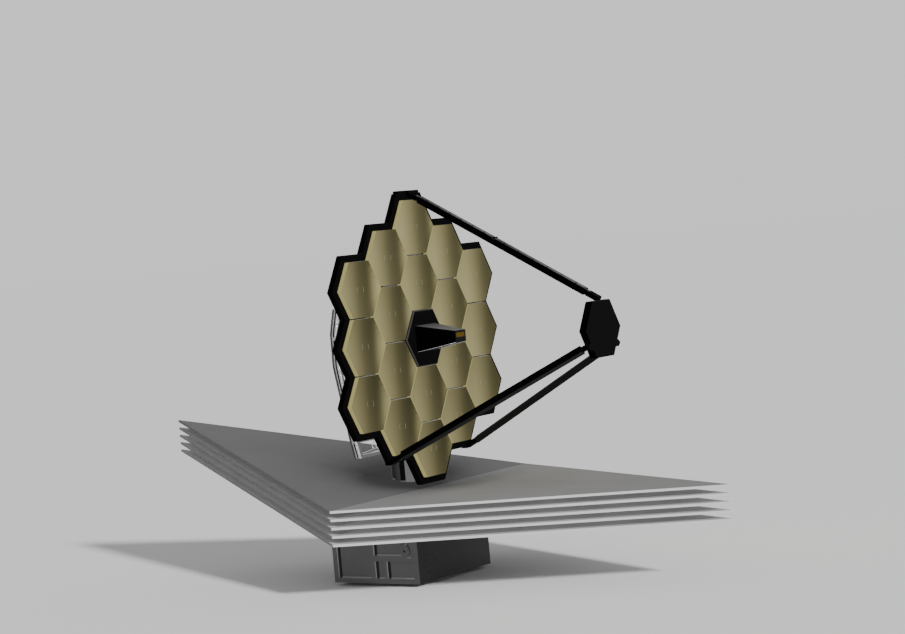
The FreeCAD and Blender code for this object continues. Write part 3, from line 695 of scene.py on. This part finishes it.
def segment_mounts(body, nodes):
    """Delta frame, centre actuator and three bipods behind each segment."""
    frames, legs = Stock(), Stock()
    for node in nodes:
        centre = middle(node)
        rear_x = box(node)[0].x

        def spot(back, radius=0.0, angle=0.0):
            return around(rear_x - back, centre, radius, angle)

        turns = [math.radians(90 + 120 * k) for k in range(3)]
        corners = [spot(MOUNT_FRAME_BACK, MOUNT_FRAME_RADIUS, turn) for turn in turns]
        for k, turn in enumerate(turns):
            frames.bar(corners[k], corners[(k + 1) % 3], MOUNT_FRAME_BAR, MOUNT_FRAME_BAR)
            frames.rod(spot(0, MOUNT_FRAME_RADIUS, turn), spot(MOUNT_PAD_DEPTH, MOUNT_FRAME_RADIUS, turn),
                       MOUNT_PAD_RADIUS)
            for angle in (turn - MOUNT_LEG_SWING, turn + MOUNT_LEG_SWING):
                foot = spot(MOUNT_FOOT_BACK, MOUNT_FOOT_RADIUS, angle)
                grip = spot(MOUNT_FOOT_BACK, MOUNT_FOOT_RADIUS + MOUNT_FOOT_GRIP, angle)
                legs.rod(corners[k], foot, MOUNT_LEG_RADIUS)
                legs.rod(foot, grip, MOUNT_PAD_RADIUS)
        motor_end = spot(MOUNT_MOTOR_DEPTH)
        legs.rod(spot(0), motor_end, MOUNT_MOTOR_RADIUS, MOUNT_MOTOR_SIDES)
        legs.rod(motor_end, spot(MOUNT_MOTOR_DEPTH + MOUNT_CAP_DEPTH), MOUNT_CAP_RADIUS, MOUNT_MOTOR_SIDES)
        for k in range(6):
            ends = [spot(MOUNT_SPREAD_BACK, radius, math.radians(60 * k + 30))
                    for radius in (MOUNT_MOTOR_RADIUS, MOUNT_SPREAD_REACH)]
            frames.bar(*ends, MOUNT_SPREAD_WIDTH, MOUNT_SPREAD_DEPTH)
    frames.make("mount_frames_" + body, "boom_composite", body=body, bevel=0.003)
    legs.make("mount_legs_" + body, "silver_frame", body=body, bevel=0.002)


def gap_foils(body, nodes):
    """Crumpled foil strips on the backplane, seen through the level gaps between segments."""
    stock = Stock()
    centres = [middle(node) for node in nodes]
    half = SEGMENT_FLATS / math.sqrt(3) / 2
    for lower in centres:
        for upper in centres:
            if abs(upper.y - lower.y) > SAME_PLACE or abs(upper.z - lower.z - ROW_PITCH) > SAME_PLACE:
                continue
            z = (lower.z + upper.z) / 2
            seed = noise.noise(Vector((lower.y * 1.7, z * 2.3, 0.5)))
            start = -half + half * (0.95 + 1.5 * seed)
            span = (half - start) * GAP_FOIL_SPAN_SHARE
            rings = []
            for step in range(GAP_FOIL_STEPS + 1):
                y = lower.y + start + span * step / GAP_FOIL_STEPS
                wave = noise.noise(Vector((y * 31, z, 1.0)))
                dent = noise.noise(Vector((y * 47, z, 4.0)))
                front = FRAME_FRONT + GAP_FOIL_DEPTH * (0.55 + 0.45 * dent)
                rings.append([(x, y, z + GAP_FOIL_HEIGHT * share) for x, share in (
                    (FRAME_FRONT, -0.5), (front, -0.3 - 0.4 * wave), (front, 0.3 + 0.4 * dent),
                    (FRAME_FRONT, 0.5))])
            stock.skin(rings)
    stock.make("gap_foils_" + body, "foil_wrap", "dull_foil", body)


for owner, members in segments_by_body().items():
    if members:
        segment_marks(owner, members)
        segment_mounts(owner, members)
        gap_foils(owner, members)


# Instruments
BLANKET_STEP = 0.055
BLANKET_DENT = 0.03
BLANKET_CORNER = 0.06
BLANKET_FOLDS = 2.6
BLANKET_RIM_RISE = 12
QUILT_WIDTH = 0.5
QUILT_ROWS = 6


def pressed_in(point, normal, depth, scale):
    """A point moved inward by soft dents and sharper folds of a wrapped foil."""
    soft = noise.noise(point * scale)
    sharp = abs(noise.noise(point * scale * 2.7 + Vector((3, 7, 1))))
    return point - normal * (depth * (0.35 + 0.35 * soft + 0.6 * sharp))


def blanket_panel(stock, corner, across, up, normal):
    """Quilted foil panel, flush at its border and dented inside it."""
    columns = max(1, round(across.length / QUILT_WIDTH))
    steps_a, steps_b = (max(4, round(edge.length / BLANKET_STEP)) for edge in (across, up))
    points = []
    for b in range(steps_b + 1):
        for a in range(steps_a + 1):
            u, v = a / steps_a, b / steps_b
            puff = abs(math.sin(math.pi * columns * u) * math.sin(math.pi * QUILT_ROWS * v))
            depth = BLANKET_DENT * min(1, min(u, 1 - u, v, 1 - v) * BLANKET_RIM_RISE)
            point = pressed_in(corner + across * u + up * v, normal, depth, BLANKET_FOLDS)
            points.append(point - normal * (depth * 0.7 * (1 - puff ** 0.4)))
    row = steps_a + 1
    faces = [[b * row + a, b * row + a + 1, (b + 1) * row + a + 1, (b + 1) * row + a]
             for b in range(steps_b) for a in range(steps_a)]
    stock.add(points, faces)


def instrument_blanket():
    """Foil blanket round the instrument box, in quilted panels with folded corners."""
    low, high = box("instrument_box")
    cut = BLANKET_CORNER
    stock = Stock()
    x0, y0, z0 = low
    x1, y1, z1 = high
    ring = [(x1, y0), (x0 + cut, y0), (x0, y0 + cut), (x0, y1 - cut), (x0 + cut, y1), (x1, y1)]
    for here, after in zip(ring, ring[1:]):
        start = Vector((*here, z0 + cut))
        across = Vector((*after, z0 + cut)) - start
        normal = Vector((across.y, -across.x, 0)).normalized()
        if normal.dot(start + across / 2 - (low + high) / 2) < 0:
            normal = -normal
        blanket_panel(stock, start, across, Vector((0, 0, z1 - z0 - 2 * cut)), normal)
    for z, edge in ((z0, z0 + cut), (z1, z1 - cut)):
        inner = [(x1, y0 + cut), (x0 + cut, y0 + cut), (x0 + cut, y1 - cut), (x1, y1 - cut)]
        stock.add([(*p, z) for p in inner], [[0, 1, 2, 3]])
        stock.add([(*p, edge) for p in ring] + [(*p, z) for p in inner],
                  [[0, 1, 7, 6], [1, 2, 7], [2, 3, 8, 7], [3, 4, 8], [4, 5, 9, 8]])
    front = ((y0, z0 + cut), (y1, z0 + cut), (y1, z1 - cut), (y0, z1 - cut))
    stock.add([(x1, y, z) for y, z in front], [[0, 1, 2, 3]])
    piece = stock.make("instrument_blanket", "foil_wrap")
    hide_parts("instrument_box")


instrument_blanket()


# Bus
# Each door: its aft and fore ends as shares of the bus's length, then its bottom and top
BUS_DOORS = ((0.072, 0.457, 0.198, 1.175), (0.507, 0.925, 0.755, 1.175), (0.512, 0.604, 0.198, 0.622),
             (0.65, 0.945, 0.198, 0.622))
DOOR_DEPTH = 0.03
SEAL_WIDTH = 0.056
SEAL_PROUD = 0.014
LIP_WIDTH = 0.032
LIP_GAP = 0.004
LIP_INSET = 0.01
LIP_PROUD = 0.0015
SILL_END = 0.02
SILL_PROUD = 0.012
RIM_INSET = 0.03
RIM_EDGE = 0.012
RIM_PROUD = 0.008
SCREW_PITCH = 0.16
SCREW_AFT = 0.09
SCREW_EDGE = 0.05
SCREW_PROUD = 0.006
SCREW_RADIUS = 0.006
# Each mark: its two ends along X and Z, and its thickness
PORT_MARKS = (((0.955, 1.02), (1.03, 1.12), 0.008), ((1.0, 0.72), (1.1, 0.72), 0.006))
PORT_MARK_WIDTH = 0.022
BAND_CIRCLE = 0.868
BAND_Z = 0.04
BAND_RADIUS = 0.011
BAND_GAP_SHARE = 0.03
BAND_STEPS = 48
LUG_RADIUS = 0.012
LUG_REACH = Vector((0, 0, 0.02))
BOLT_COUNT = 24
BOLT_CIRCLE = 0.82
BOLT_TOP = 0.004
BOLT_FOOT = 0.0005
BOLT_RADIUS = 0.009


def bus_trims():
    """Seals, lips and sills round the side doors, their rims, and rows of screws. The seals are dark as
    painted shade along each door's aft edge, and the lips and sills are pale as painted highlight.
    """
    low, high = box("bus")
    rims, seals, lips, screws = Stock(), Stock(), Stock(), Stock()
    for hand, wall in ((-1, low.y), (1, high.y)):

        def plate(stock, x0, x1, z0, z1, depth, proud):
            y0, y1 = sorted((wall - hand * depth, wall - hand * (depth - proud)))
            stock.block((x0, y0, z0), (x1, y1, z1))

        for *ends, z0, z1 in BUS_DOORS:
            aft, fore = (low.x + (high.x - low.x) * share for share in ends)
            edge = aft + SEAL_WIDTH
            rim_x, rim_z = fore - RIM_INSET, z1 - RIM_INSET
            plate(rims, rim_x, fore - RIM_EDGE, z0 + RIM_INSET, rim_z, DOOR_DEPTH, RIM_PROUD)
            plate(rims, edge, rim_x, rim_z, z1 - RIM_EDGE, DOOR_DEPTH, RIM_PROUD)
            plate(seals, aft, edge, z0, z1, DOOR_DEPTH, SEAL_PROUD)
            lip = aft - LIP_GAP
            plate(lips, lip - LIP_WIDTH, lip, z0 + LIP_INSET, z1 - LIP_INSET, 0, LIP_PROUD)
            plate(lips, edge, fore - SILL_END, z0, z0 + LIP_WIDTH, DOOR_DEPTH, SILL_PROUD)
            count = max(2, round((fore - aft) / SCREW_PITCH))
            row = fore - aft - SCREW_AFT - SCREW_EDGE
            for k in range(count):
                foot = Vector((aft + SCREW_AFT + row * k / (count - 1), wall - hand * DOOR_DEPTH,
                               z1 - SCREW_EDGE))
                screws.rod(foot, foot + Vector((0, hand * SCREW_PROUD, 0)), SCREW_RADIUS, 8)
    rims.make("door_rims", "bus_panel", bevel=0.002)
    # Painted shade: the seals are dark along each door's aft edge.
    seals.make("door_seals", "bus_panel", "door_seal_painted_shade", bevel=0.002)
    # Painted highlight: the lips and sills are pale where the door edges catch the light.
    lips.make("door_lips_painted_highlight", "bus_panel", "pale_trim")
    screws.make("door_screws", "bus_panel")


def port_marks():
    """A lug and a handle near the round port of the right side."""
    wall = box("bus")[0].y
    stock = Stock()
    for (x0, z0), (x1, z1), thick in PORT_MARKS:
        y = wall - thick / 2
        stock.bar((x0, y, z0), (x1, y, z1), PORT_MARK_WIDTH, thick, up=(0, 1, 0))
    stock.make("port_marks", "bus_panel", "pale_trim", bevel=0.001)


def ring_bolts():
    """Clamp band halves, their end lugs and the bolts under the bus."""
    band, bolts = Stock(), Stock()
    span = 1 - 2 * BAND_GAP_SHARE
    for half in (0, 1):
        turns = [math.pi * (half + BAND_GAP_SHARE + span * k / BAND_STEPS) for k in range(BAND_STEPS + 1)]
        path = [Vector((BAND_CIRCLE * math.cos(turn), BAND_CIRCLE * math.sin(turn), BAND_Z))
                for turn in turns]
        band.tube(path, BAND_RADIUS, 6)
        for end in (path[0], path[-1]):
            band.rod(end - LUG_REACH, end + LUG_REACH, LUG_RADIUS, 8)
    for k in range(BOLT_COUNT):
        turn = math.tau * (k + 0.5) / BOLT_COUNT
        x, y = BOLT_CIRCLE * math.cos(turn), BOLT_CIRCLE * math.sin(turn)
        bolts.rod((x, y, BOLT_TOP), (x, y, BOLT_FOOT), BOLT_RADIUS, 6)
    band.make("clamp_band", "ring_metal")
    bolts.make("ring_bolts", "ring_metal")


bus_trims()
port_marks()
ring_bolts()


# Tower
LINER_WALL = 0.003
LINER_SINK = 0.004
LINER_LIFT = 0.002
COVER_SINK = 0.005
# Each cable run: its angle in degrees and its radius
TOWER_LEADS = ((-143, 0.007), (150, 0.011), (100, 0.008), (0, 0.009), (180, 0.012))
TOWER_LEAD_LIFT = 0.02
TOWER_LEAD_Z = (2.9, 3.42)
TOWER_CLIP_Z = (2.7, 3.0, 3.3)
TOWER_CLIP_HALF = Vector((0.017, 0.017, 0.012))


def film_top(x):
    """Height of the top layer's upper face, aft of its crease."""
    return SHIELD_TOP + (CREASE_X - x) * SHIELD_AFT_SLOPE


def tower_liners():
    """Black liner in the tower's open slot and cover strips over its other three."""
    liner, covers = Stock(), Stock()
    inner = TOWER_RADIUS - TOWER_SLOT_DEPTH
    half = TOWER_SLOT_WIDTH / 2
    outer = math.sqrt(TOWER_RADIUS ** 2 - half ** 2) - LINER_SINK
    bed, wall = inner + LINER_WALL, half - LINER_WALL
    trough = ((inner, -half), (outer, -half), (outer, -wall), (bed, -wall),
              (bed, wall), (outer, wall), (outer, half), (inner, half))
    strip = ((inner, -half), (outer, -half), (TOWER_RADIUS - COVER_SINK, 0), (outer, half), (inner, half))
    for degrees in TOWER_SLOT_ANGLES:
        turn = math.radians(degrees)
        out = Vector((math.cos(turn), math.sin(turn), 0))
        side = Vector((-math.sin(turn), math.cos(turn), 0))
        foot = film_top(min((out * r + side * w).x for r, w in trough)) + LINER_LIFT
        stock, section = (liner, trough) if degrees == TOWER_OPEN_SLOT else (covers, strip)
        outline = [out * r + side * w + Vector((0, 0, foot)) for r, w in section]
        stock.prism(outline, (0, 0, TOWER_SLOT_TOP - foot))
    liner.make("tower_liners", "tower_wrap", "black_rubber")
    covers.make("tower_covers", "tower_wrap")


def tower_leads():
    """Cable runs up the tower's sides, held by clips."""
    leads, clips = Stock(), Stock()
    for degrees, radius in TOWER_LEADS:
        turn = math.radians(degrees)
        reach = TOWER_RADIUS + radius
        x, y = reach * math.cos(turn), reach * math.sin(turn)
        leads.tube([Vector((x, y, z)) for z in (film_top(x) + TOWER_LEAD_LIFT, *TOWER_LEAD_Z)], radius)
        for z in TOWER_CLIP_Z:
            clips.block(Vector((x, y, z)) - TOWER_CLIP_HALF, Vector((x, y, z)) + TOWER_CLIP_HALF)
    leads.make("tower_leads", "tower_wrap", "grey_lead", smooth=True)
    clips.make("tower_clips", "tower_wrap", bevel=0.003)


tower_liners()
tower_leads()


# Hoop
HOOP_LINER_INSET = 0.026
HOOP_LINER_WIDTH = 0.03
HOOP_LINER_DEPTH = 0.046
# Each wrap: its piece, its finish, its two edges along X, and a seed for its folds
HOOP_WRAPS = (("hoop_wrap_aft", "dull_foil", HOOP_BACK - 0.006, HOOP_BACK + 0.052, 0.0),
              ("hoop_wrap_fore", "bright_foil", HOOP_BACK + 0.15, HOOP_BACK + 0.205, 9.0))
WRAP_STEP = 0.07
WRAP_SINK = 0.006
WRAP_LIFT = 0.002
WRAP_CREASE = 0.009
WRAP_RAGGED = 0.018
FOOT_BAR_Y = 0.79
FOOT_BAR_END = 3.09
FOOT_BAR_PEAK = 3.17
FOOT_BAR_WIDTH = 0.06
FOOT_BAR_DEPTH = 0.05
# Each lead to the box: its ends on the left side, from the hoop's middle, its radius and its wander
HOOP_LEADS = (((0.03, 0.01, 3.18), (0.0, 0.24, 3.52), 0.011, 0.03),
              ((-0.03, 0.09, 3.17), (-0.02, 0.34, 3.52), 0.009, 0.04))
LEAD_STEPS = 10
SHOE_Y = (0.70, 0.7525)
SHOE_BACK = 0.032
SHOE_FRONT = 0.04
SHOE_BELOW = 0.04
SHOE_ABOVE = 0.12


def hoop_corners(inset):
    """Corners of the hoop's outline, across and up, pulled in by inset."""
    low, high = HOOP_FOOT + inset, HOOP_FOOT + HOOP_HEIGHT - inset
    half = [(a * HOOP_HALF_WIDTH - inset, min(max(HOOP_FOOT + u * HOOP_HEIGHT, low), high))
            for a, u in HOOP_SHARES]
    return half + [(-y, z) for y, z in reversed(half)]


def hoop_liner():
    """Black strip at the bottom of the hoop's outer channel."""
    stock = Stock()
    corners = [(HOOP_MIDDLE, y, z) for y, z in hoop_corners(HOOP_LINER_INSET)]
    for here, after in zip(corners, corners[1:] + corners[:1]):
        stock.bar(here, after, HOOP_LINER_WIDTH, HOOP_LINER_DEPTH)
    stock.make("hoop_liner", "silver_frame", "black_rubber")


def hoop_wraps():
    """Ragged foil wraps along both outer edges of the hoop, save its foot and its top."""
    corners = [Vector((0, y, z)) for y, z in hoop_corners(0.0)]
    for name, finish, x0, x1, seed in HOOP_WRAPS:
        stock = Stock()
        for start, end in zip(corners, corners[1:]):
            if start.y * end.y < 0:
                continue
            run = end - start
            count = max(3, round(run.length / WRAP_STEP))
            outward = Vector((0, run.z, -run.y)).normalized()
            rings = []
            for i in range(count + 1):
                point = start.lerp(end, i / count)
                lift = WRAP_LIFT + WRAP_CREASE * abs(noise.noise(point * 9 + Vector((seed, 0, 0))))
                edge = WRAP_RAGGED * noise.noise(point * 14 + Vector((seed, 5, 0)))
                section = ((x0, -WRAP_SINK), (x0 + edge * 0.3, lift), (x1 + edge, lift * 0.6),
                           (x1, -WRAP_SINK))
                rings.append([point + outward * out + Vector((x, 0, 0)) for x, out in section])
            stock.skin(rings)
        stock.make(name, "silver_frame", finish)


def ragged_lead(stock, start, end, radius, ragged):
    """Foil-wrapped lead that wanders a little between two points."""
    path = []
    for i in range(LEAD_STEPS + 1):
        point = start.lerp(end, i / LEAD_STEPS)
        wander = Vector([noise.noise(point * scale) for scale in (11, 13, 17)])
        path.append(point + wander * (ragged * min(1, i, LEAD_STEPS - i)))
    stock.tube(path, radius, 6)


def hoop_foot():
    """Slanted foot bars, foil-wrapped leads to the box, and shoes under the hoop's arms."""
    bars, leads, shoes = Stock(), Stock(), Stock()
    for hand in (-1, 1):
        bars.bar((HOOP_MIDDLE, hand * FOOT_BAR_Y, FOOT_BAR_END), (HOOP_MIDDLE, 0, FOOT_BAR_PEAK),
                 FOOT_BAR_WIDTH, FOOT_BAR_DEPTH)
        for *ends, radius, ragged in HOOP_LEADS:
            start, end = (Vector((HOOP_MIDDLE + x, hand * y, z)) for x, y, z in ends)
            ragged_lead(leads, start, end, radius, ragged)
        y0, y1 = sorted(hand * y for y in SHOE_Y)
        for z in HOOP_ARM_Z:
            shoes.block((HOOP_BACK + SHOE_BACK, y0, z - SHOE_BELOW),
                        (HOOP_BACK + HOOP_DEPTH + SHOE_FRONT, y1, z + SHOE_ABOVE))
    bars.make("hoop_foot_bars", "silver_frame", bevel=0.004)
    leads.make("hoop_leads", "silver_frame", "bright_foil")
    shoes.make("hoop_shoes", "silver_frame", bevel=0.006)


hoop_liner()
hoop_wraps()
hoop_foot()


# Struts
HARNESS_LIFT = 0.007
HARNESS_END = 0.16
HARNESS_KNEE_CLEAR = 0.12
# Each line of the harness: its place across the strut and its radius
HARNESS_LINES = ((-0.052, 0.014), (-0.022, 0.01))
HARNESS_CLIPS = 6
HARNESS_CLIP_REACH = Vector((0, -0.075, 0))
HARNESS_CLIP_WIDTH = 0.03
HARNESS_CLIP_HEIGHT = 0.02
# Each hexagonal rim: its radius and its width
OUTER_RIM = (0.62, 0.03)
INNER_RIM = (0.3, 0.02)
RIM_SINK = 0.008
RIM_HEIGHT = 0.014
RIB_WIDTH = 0.02
RIB_HEIGHT = 0.012


def strut_harness():
    """Flat harness clipped along the top of both halves of the upper strut."""
    reach = (NOSE_PIVOT - TOP_PIVOT).normalized()
    rise = Vector((-reach.z, 0, reach.x))
    lift = rise * (STRUT_SIZE / 2 + HARNESS_LIFT)
    knee = (KNEE_PIVOT - rise * (STRUT_SIZE / 2) - TOP_PIVOT).dot(reach)
    length = (NOSE_PIVOT - TOP_PIVOT).length
    for body, start, end in (("strut_inner", HARNESS_END, knee - HARNESS_KNEE_CLEAR),
                             ("strut_outer", knee + HARNESS_KNEE_CLEAR, length - HARNESS_END)):
        tape, clips = Stock(), Stock()
        for y, radius in HARNESS_LINES:
            tape.tube([TOP_PIVOT + reach * d + lift + Vector((0, y, 0))
                       for d in (start, (start + end) / 2, end)], radius)
        for k in range(HARNESS_CLIPS):
            inner = TOP_PIVOT + reach * (start + (end - start) * (k + 0.5) / HARNESS_CLIPS) + lift
            clips.bar(inner + HARNESS_CLIP_REACH, inner, HARNESS_CLIP_WIDTH, HARNESS_CLIP_HEIGHT, up=rise)
        tape.make("harness_" + body, "strut_black", "grey_lead", body, smooth=True)
        clips.make("harness_clips_" + body, "strut_black", body=body, bevel=0.003)


def secondary_ribs():
    """Two hexagonal rims on the outer face of the secondary's housing, and ribs between them."""
    face_x = box("secondary_housing")[1].x
    centre = Vector((face_x, 0, middle("secondary_mirror").z))
    stock = Stock()
    for radius, width in (OUTER_RIM, INNER_RIM):
        ring = [around(face_x - RIM_SINK, centre, radius, math.radians(60 * k)) for k in range(6)]
        for here, after in zip(ring, ring[1:] + ring[:1]):
            stock.bar(here, after, width, RIM_HEIGHT)
            if radius == OUTER_RIM[0]:
                stock.bar(here, here.lerp(centre, 0.5), RIB_WIDTH, RIB_HEIGHT)
    stock.make("secondary_ribs", "baffle_black", body="secondary", bevel=0.002)


strut_harness()
secondary_ribs()


# Nose
NOSE_FOIL_STEPS = 44
NOSE_FOIL_START = 0.03
NOSE_FOIL_END = 0.01
NOSE_FOIL_THIN = 0.003
NOSE_FOIL_GROWTH = 0.009
NOSE_FOIL_RAGGED = 0.012


def nose_foil():
    """Crumpled foil strip along the nose's lower edges, wider towards the tip."""
    low, high = box("aft_optics")
    length = high.x - low.x
    stock = Stock()
    for hand in (-1, 1):
        rings = []
        for i in range(NOSE_FOIL_STEPS + 1):
            share = i / NOSE_FOIL_STEPS
            x = low.x + NOSE_FOIL_START + (length - NOSE_FOIL_START - NOSE_FOIL_END) * share
            way = (x - low.x) / length
            out, drop = (root + (tip - root) * way for root, tip in (NOSE_HALF_WIDTHS, NOSE_DROPS))
            size = NOSE_FOIL_THIN + NOSE_FOIL_GROWTH * share
            ragged = [noise.noise(Vector((x * 26, hand * 3.0, 7.0 * n))) for n in range(4)]
            section = ((-0.004, 0.004),
                       (0.003 + NOSE_FOIL_RAGGED * ragged[0], 0.002 + size * ragged[1]),
                       (0.002 + NOSE_FOIL_RAGGED * ragged[2], -size * (0.6 + ragged[3])),
                       (-0.01, -size * 0.4))
            rings.append([(x, hand * (out + side), MIRROR_Z - drop + rise) for side, rise in section])
        stock.skin(rings)
    stock.make("nose_foil", "foil_wrap", "bright_foil")


nose_foil()


# Shield underside
PALLET_LEAD_Y = 0.1
PALLET_LEAD_RADIUS = 0.012
PALLET_LEAD_SWAY = 0.012
PALLET_LEAD_DROP = 0.008
PALLET_LEAD_START = 0.5
PALLET_LEAD_END = 0.3
PALLET_LEAD_STEPS = 8
PALLET_BAYS = 6
PLATE_HALF_LENGTH = 0.03
PLATE_HALF_WIDTH = 0.14
PLATE_DROP = 0.012
PLATE_SINK = 0.002


def pallet_harness():
    """Cable runs and tie plates under the fore pallet."""
    low, high = box("fore_pallet")
    leads, plates = Stock(), Stock()
    length = high.x - low.x
    run = length - PALLET_LEAD_START - PALLET_LEAD_END
    for y in (-PALLET_LEAD_Y, PALLET_LEAD_Y):
        leads.tube([Vector((low.x + PALLET_LEAD_START + run * k / PALLET_LEAD_STEPS,
                            y + PALLET_LEAD_SWAY * (-1) ** k, low.z - PALLET_LEAD_DROP))
                    for k in range(PALLET_LEAD_STEPS + 1)], PALLET_LEAD_RADIUS)
    leads.make("pallet_leads", "boom_composite", "grey_lead", smooth=True)
    for k in range(1, PALLET_BAYS):
        x = low.x + length * k / PALLET_BAYS
        plates.block((x - PLATE_HALF_LENGTH, -PLATE_HALF_WIDTH, low.z - PLATE_DROP),
                     (x + PLATE_HALF_LENGTH, PLATE_HALF_WIDTH, low.z + PLATE_SINK))
    plates.make("pallet_plates", "boom_composite", bevel=0.002)


pallet_harness()


# Camera, floor and lights
CAMERA_PLACE = Vector((34.8456, -46.0524, 8.7046))
CAMERA_RIGHT = Vector((0.81195513, 0.57713486, -0.08743124))
CAMERA_UP = Vector((0.04673904, 0.08502131, 0.99528229))
CAMERA_LENS = 93.77
CAMERA_SENSOR = 36.0
CAMERA_REACH = 5000.0
FLOOR_RADIUS = 600.0
FLOOR_SHADE = 0.88
BACKDROP_LIGHT = 0.87
FILL_LIGHT = 0.39
KEY_FROM = Vector((1.19, -0.58, 0.58))
KEY_STRENGTH = 4.5
KEY_ANGLE = math.radians(5)
KEY_SHADES = ("adapter_ring", "bus", "shield_column", "fore_pallet", "aft_pallet", "mid_boom_left",
              "mid_boom_right", *SHIELD_LAYERS)
KEY_MISSES = ("bus",)
# The dark upright band that the mirrors show: places across it and their shades
SHADE_STOPS = ((0.0, 0.68), (0.2, 0.60), (0.3, 0.38), (0.35, 0.22), (0.4, 0.125), (0.45, 0.11),
               (0.5, 0.12), (0.62, 0.165), (0.75, 0.295), (0.85, 0.385), (1.0, 0.50))
SHADE_BEARING = math.radians(51.3)
SHADE_SPAN = 0.1
SHADE_LOW = -0.18
SHADE_HIGH = 0.03
SHADE_FOOT = 0.45
SHADE_RISE = 0.65
SHADE_EDGE = 0.4
SHADE_INSIDE = 0.85


def camera():
    data = bpy.data.cameras.new("camera")
    data.lens = CAMERA_LENS
    data.sensor_width = CAMERA_SENSOR
    data.clip_end = CAMERA_REACH
    place = bpy.data.objects.new("camera", data)
    bpy.context.collection.objects.link(place)
    axes = Matrix((CAMERA_RIGHT, CAMERA_UP, CAMERA_RIGHT.cross(CAMERA_UP))).transposed().to_4x4()
    place.matrix_world = Matrix.Translation(CAMERA_PLACE) @ axes
    bpy.context.scene.camera = place


def floor():
    bpy.ops.mesh.primitive_circle_add(vertices=96, radius=FLOOR_RADIUS, fill_type="NGON", location=(0, 0, 0))
    plane = bpy.context.object
    plane.name = "floor"
    plane.visible_glossy = False
    material, tree, shader = new_material("floor_paint", ior=1.0)
    colour = clouded(tree, grey(FLOOR_SHADE), dim=0.995, scale=0.3, detail=3.0, contrast=0.2)
    join(colour, shader.inputs["Base Color"])
    shader.inputs["Roughness"].default_value = 1
    plane.data.materials.append(material)


def band_light(tree):
    """Light that the mirrors show: even, with one dark upright band that brightens upwards."""
    direction = tree.nodes.new("ShaderNodeTexCoord").outputs["Generated"]
    ahead = (math.cos(SHADE_BEARING), math.sin(SHADE_BEARING), 0.0)
    across = (-math.sin(SHADE_BEARING), math.cos(SHADE_BEARING), 0.0)
    sideways, fore, height = (vector_node("DOT_PRODUCT", direction, way, "Value")
                              for way in (across, ahead, (0.0, 0.0, 1.0)))
    spread = tree.nodes.new("ShaderNodeMapRange")
    join(sideways, spread.inputs["Value"])
    spread.inputs["From Min"].default_value = -SHADE_SPAN
    spread.inputs["From Max"].default_value = SHADE_SPAN
    ramp = tree.nodes.new("ShaderNodeValToRGB")
    join(spread.outputs["Result"], ramp.inputs["Fac"])
    for stop, shade in SHADE_STOPS[1:-1]:
        ramp.color_ramp.elements.new(stop)
    for element, (stop, shade) in zip(ramp.color_ramp.elements, SHADE_STOPS):
        element.position = stop
        element.color = (*grey(shade), 1)
    lift = plus(times(between(height, SHADE_LOW, SHADE_HIGH), SHADE_RISE), SHADE_FOOT)
    near = between(fore, SHADE_EDGE, SHADE_INSIDE)
    return plus(times(near, times(ramp.outputs["Color"], lift)),
                times(minus(1.0, near), BACKDROP_LIGHT))


def backdrop():
    """Even backdrop, dimmer for matt surfaces, with a band that only glossy ones show."""
    world = bpy.data.worlds.new("studio")
    world.use_nodes = True
    tree = world.node_tree
    rays = tree.nodes.new("ShaderNodeLightPath")
    matt = times(rays.outputs["Is Diffuse Ray"], FILL_LIGHT - BACKDROP_LIGHT)
    plain = plus(matt, BACKDROP_LIGHT)
    change = times(rays.outputs["Is Glossy Ray"], minus(band_light(tree), plain))
    join(plus(plain, change), tree.nodes["Background"].inputs["Strength"])
    tree.nodes["Background"].inputs["Color"].default_value = (1, 1, 1, 1)
    bpy.context.scene.world = world


def key_light():
    data = bpy.data.lights.new("key", "SUN")
    data.energy = KEY_STRENGTH
    data.angle = KEY_ANGLE
    key = bpy.data.objects.new("key", data)
    key.rotation_mode = "QUATERNION"
    key.rotation_quaternion = KEY_FROM.to_track_quat("Z", "Y")
    bpy.context.collection.objects.link(key)
    shades = bpy.data.collections.new("key_shades")
    for name in KEY_SHADES:
        shades.objects.link(frame["nodes"][name])
    shades.objects.link(bpy.data.objects["floor"])
    key.light_linking.blocker_collection = shades
    misses = bpy.data.collections.new("key_misses")
    for name in KEY_MISSES:
        misses.objects.link(frame["nodes"][name])
    for member in misses.collection_objects:
        member.light_linking.link_state = "EXCLUDE"
    key.light_linking.receiver_collection = misses


dress_frame()
camera()
floor()
backdrop()
key_light()
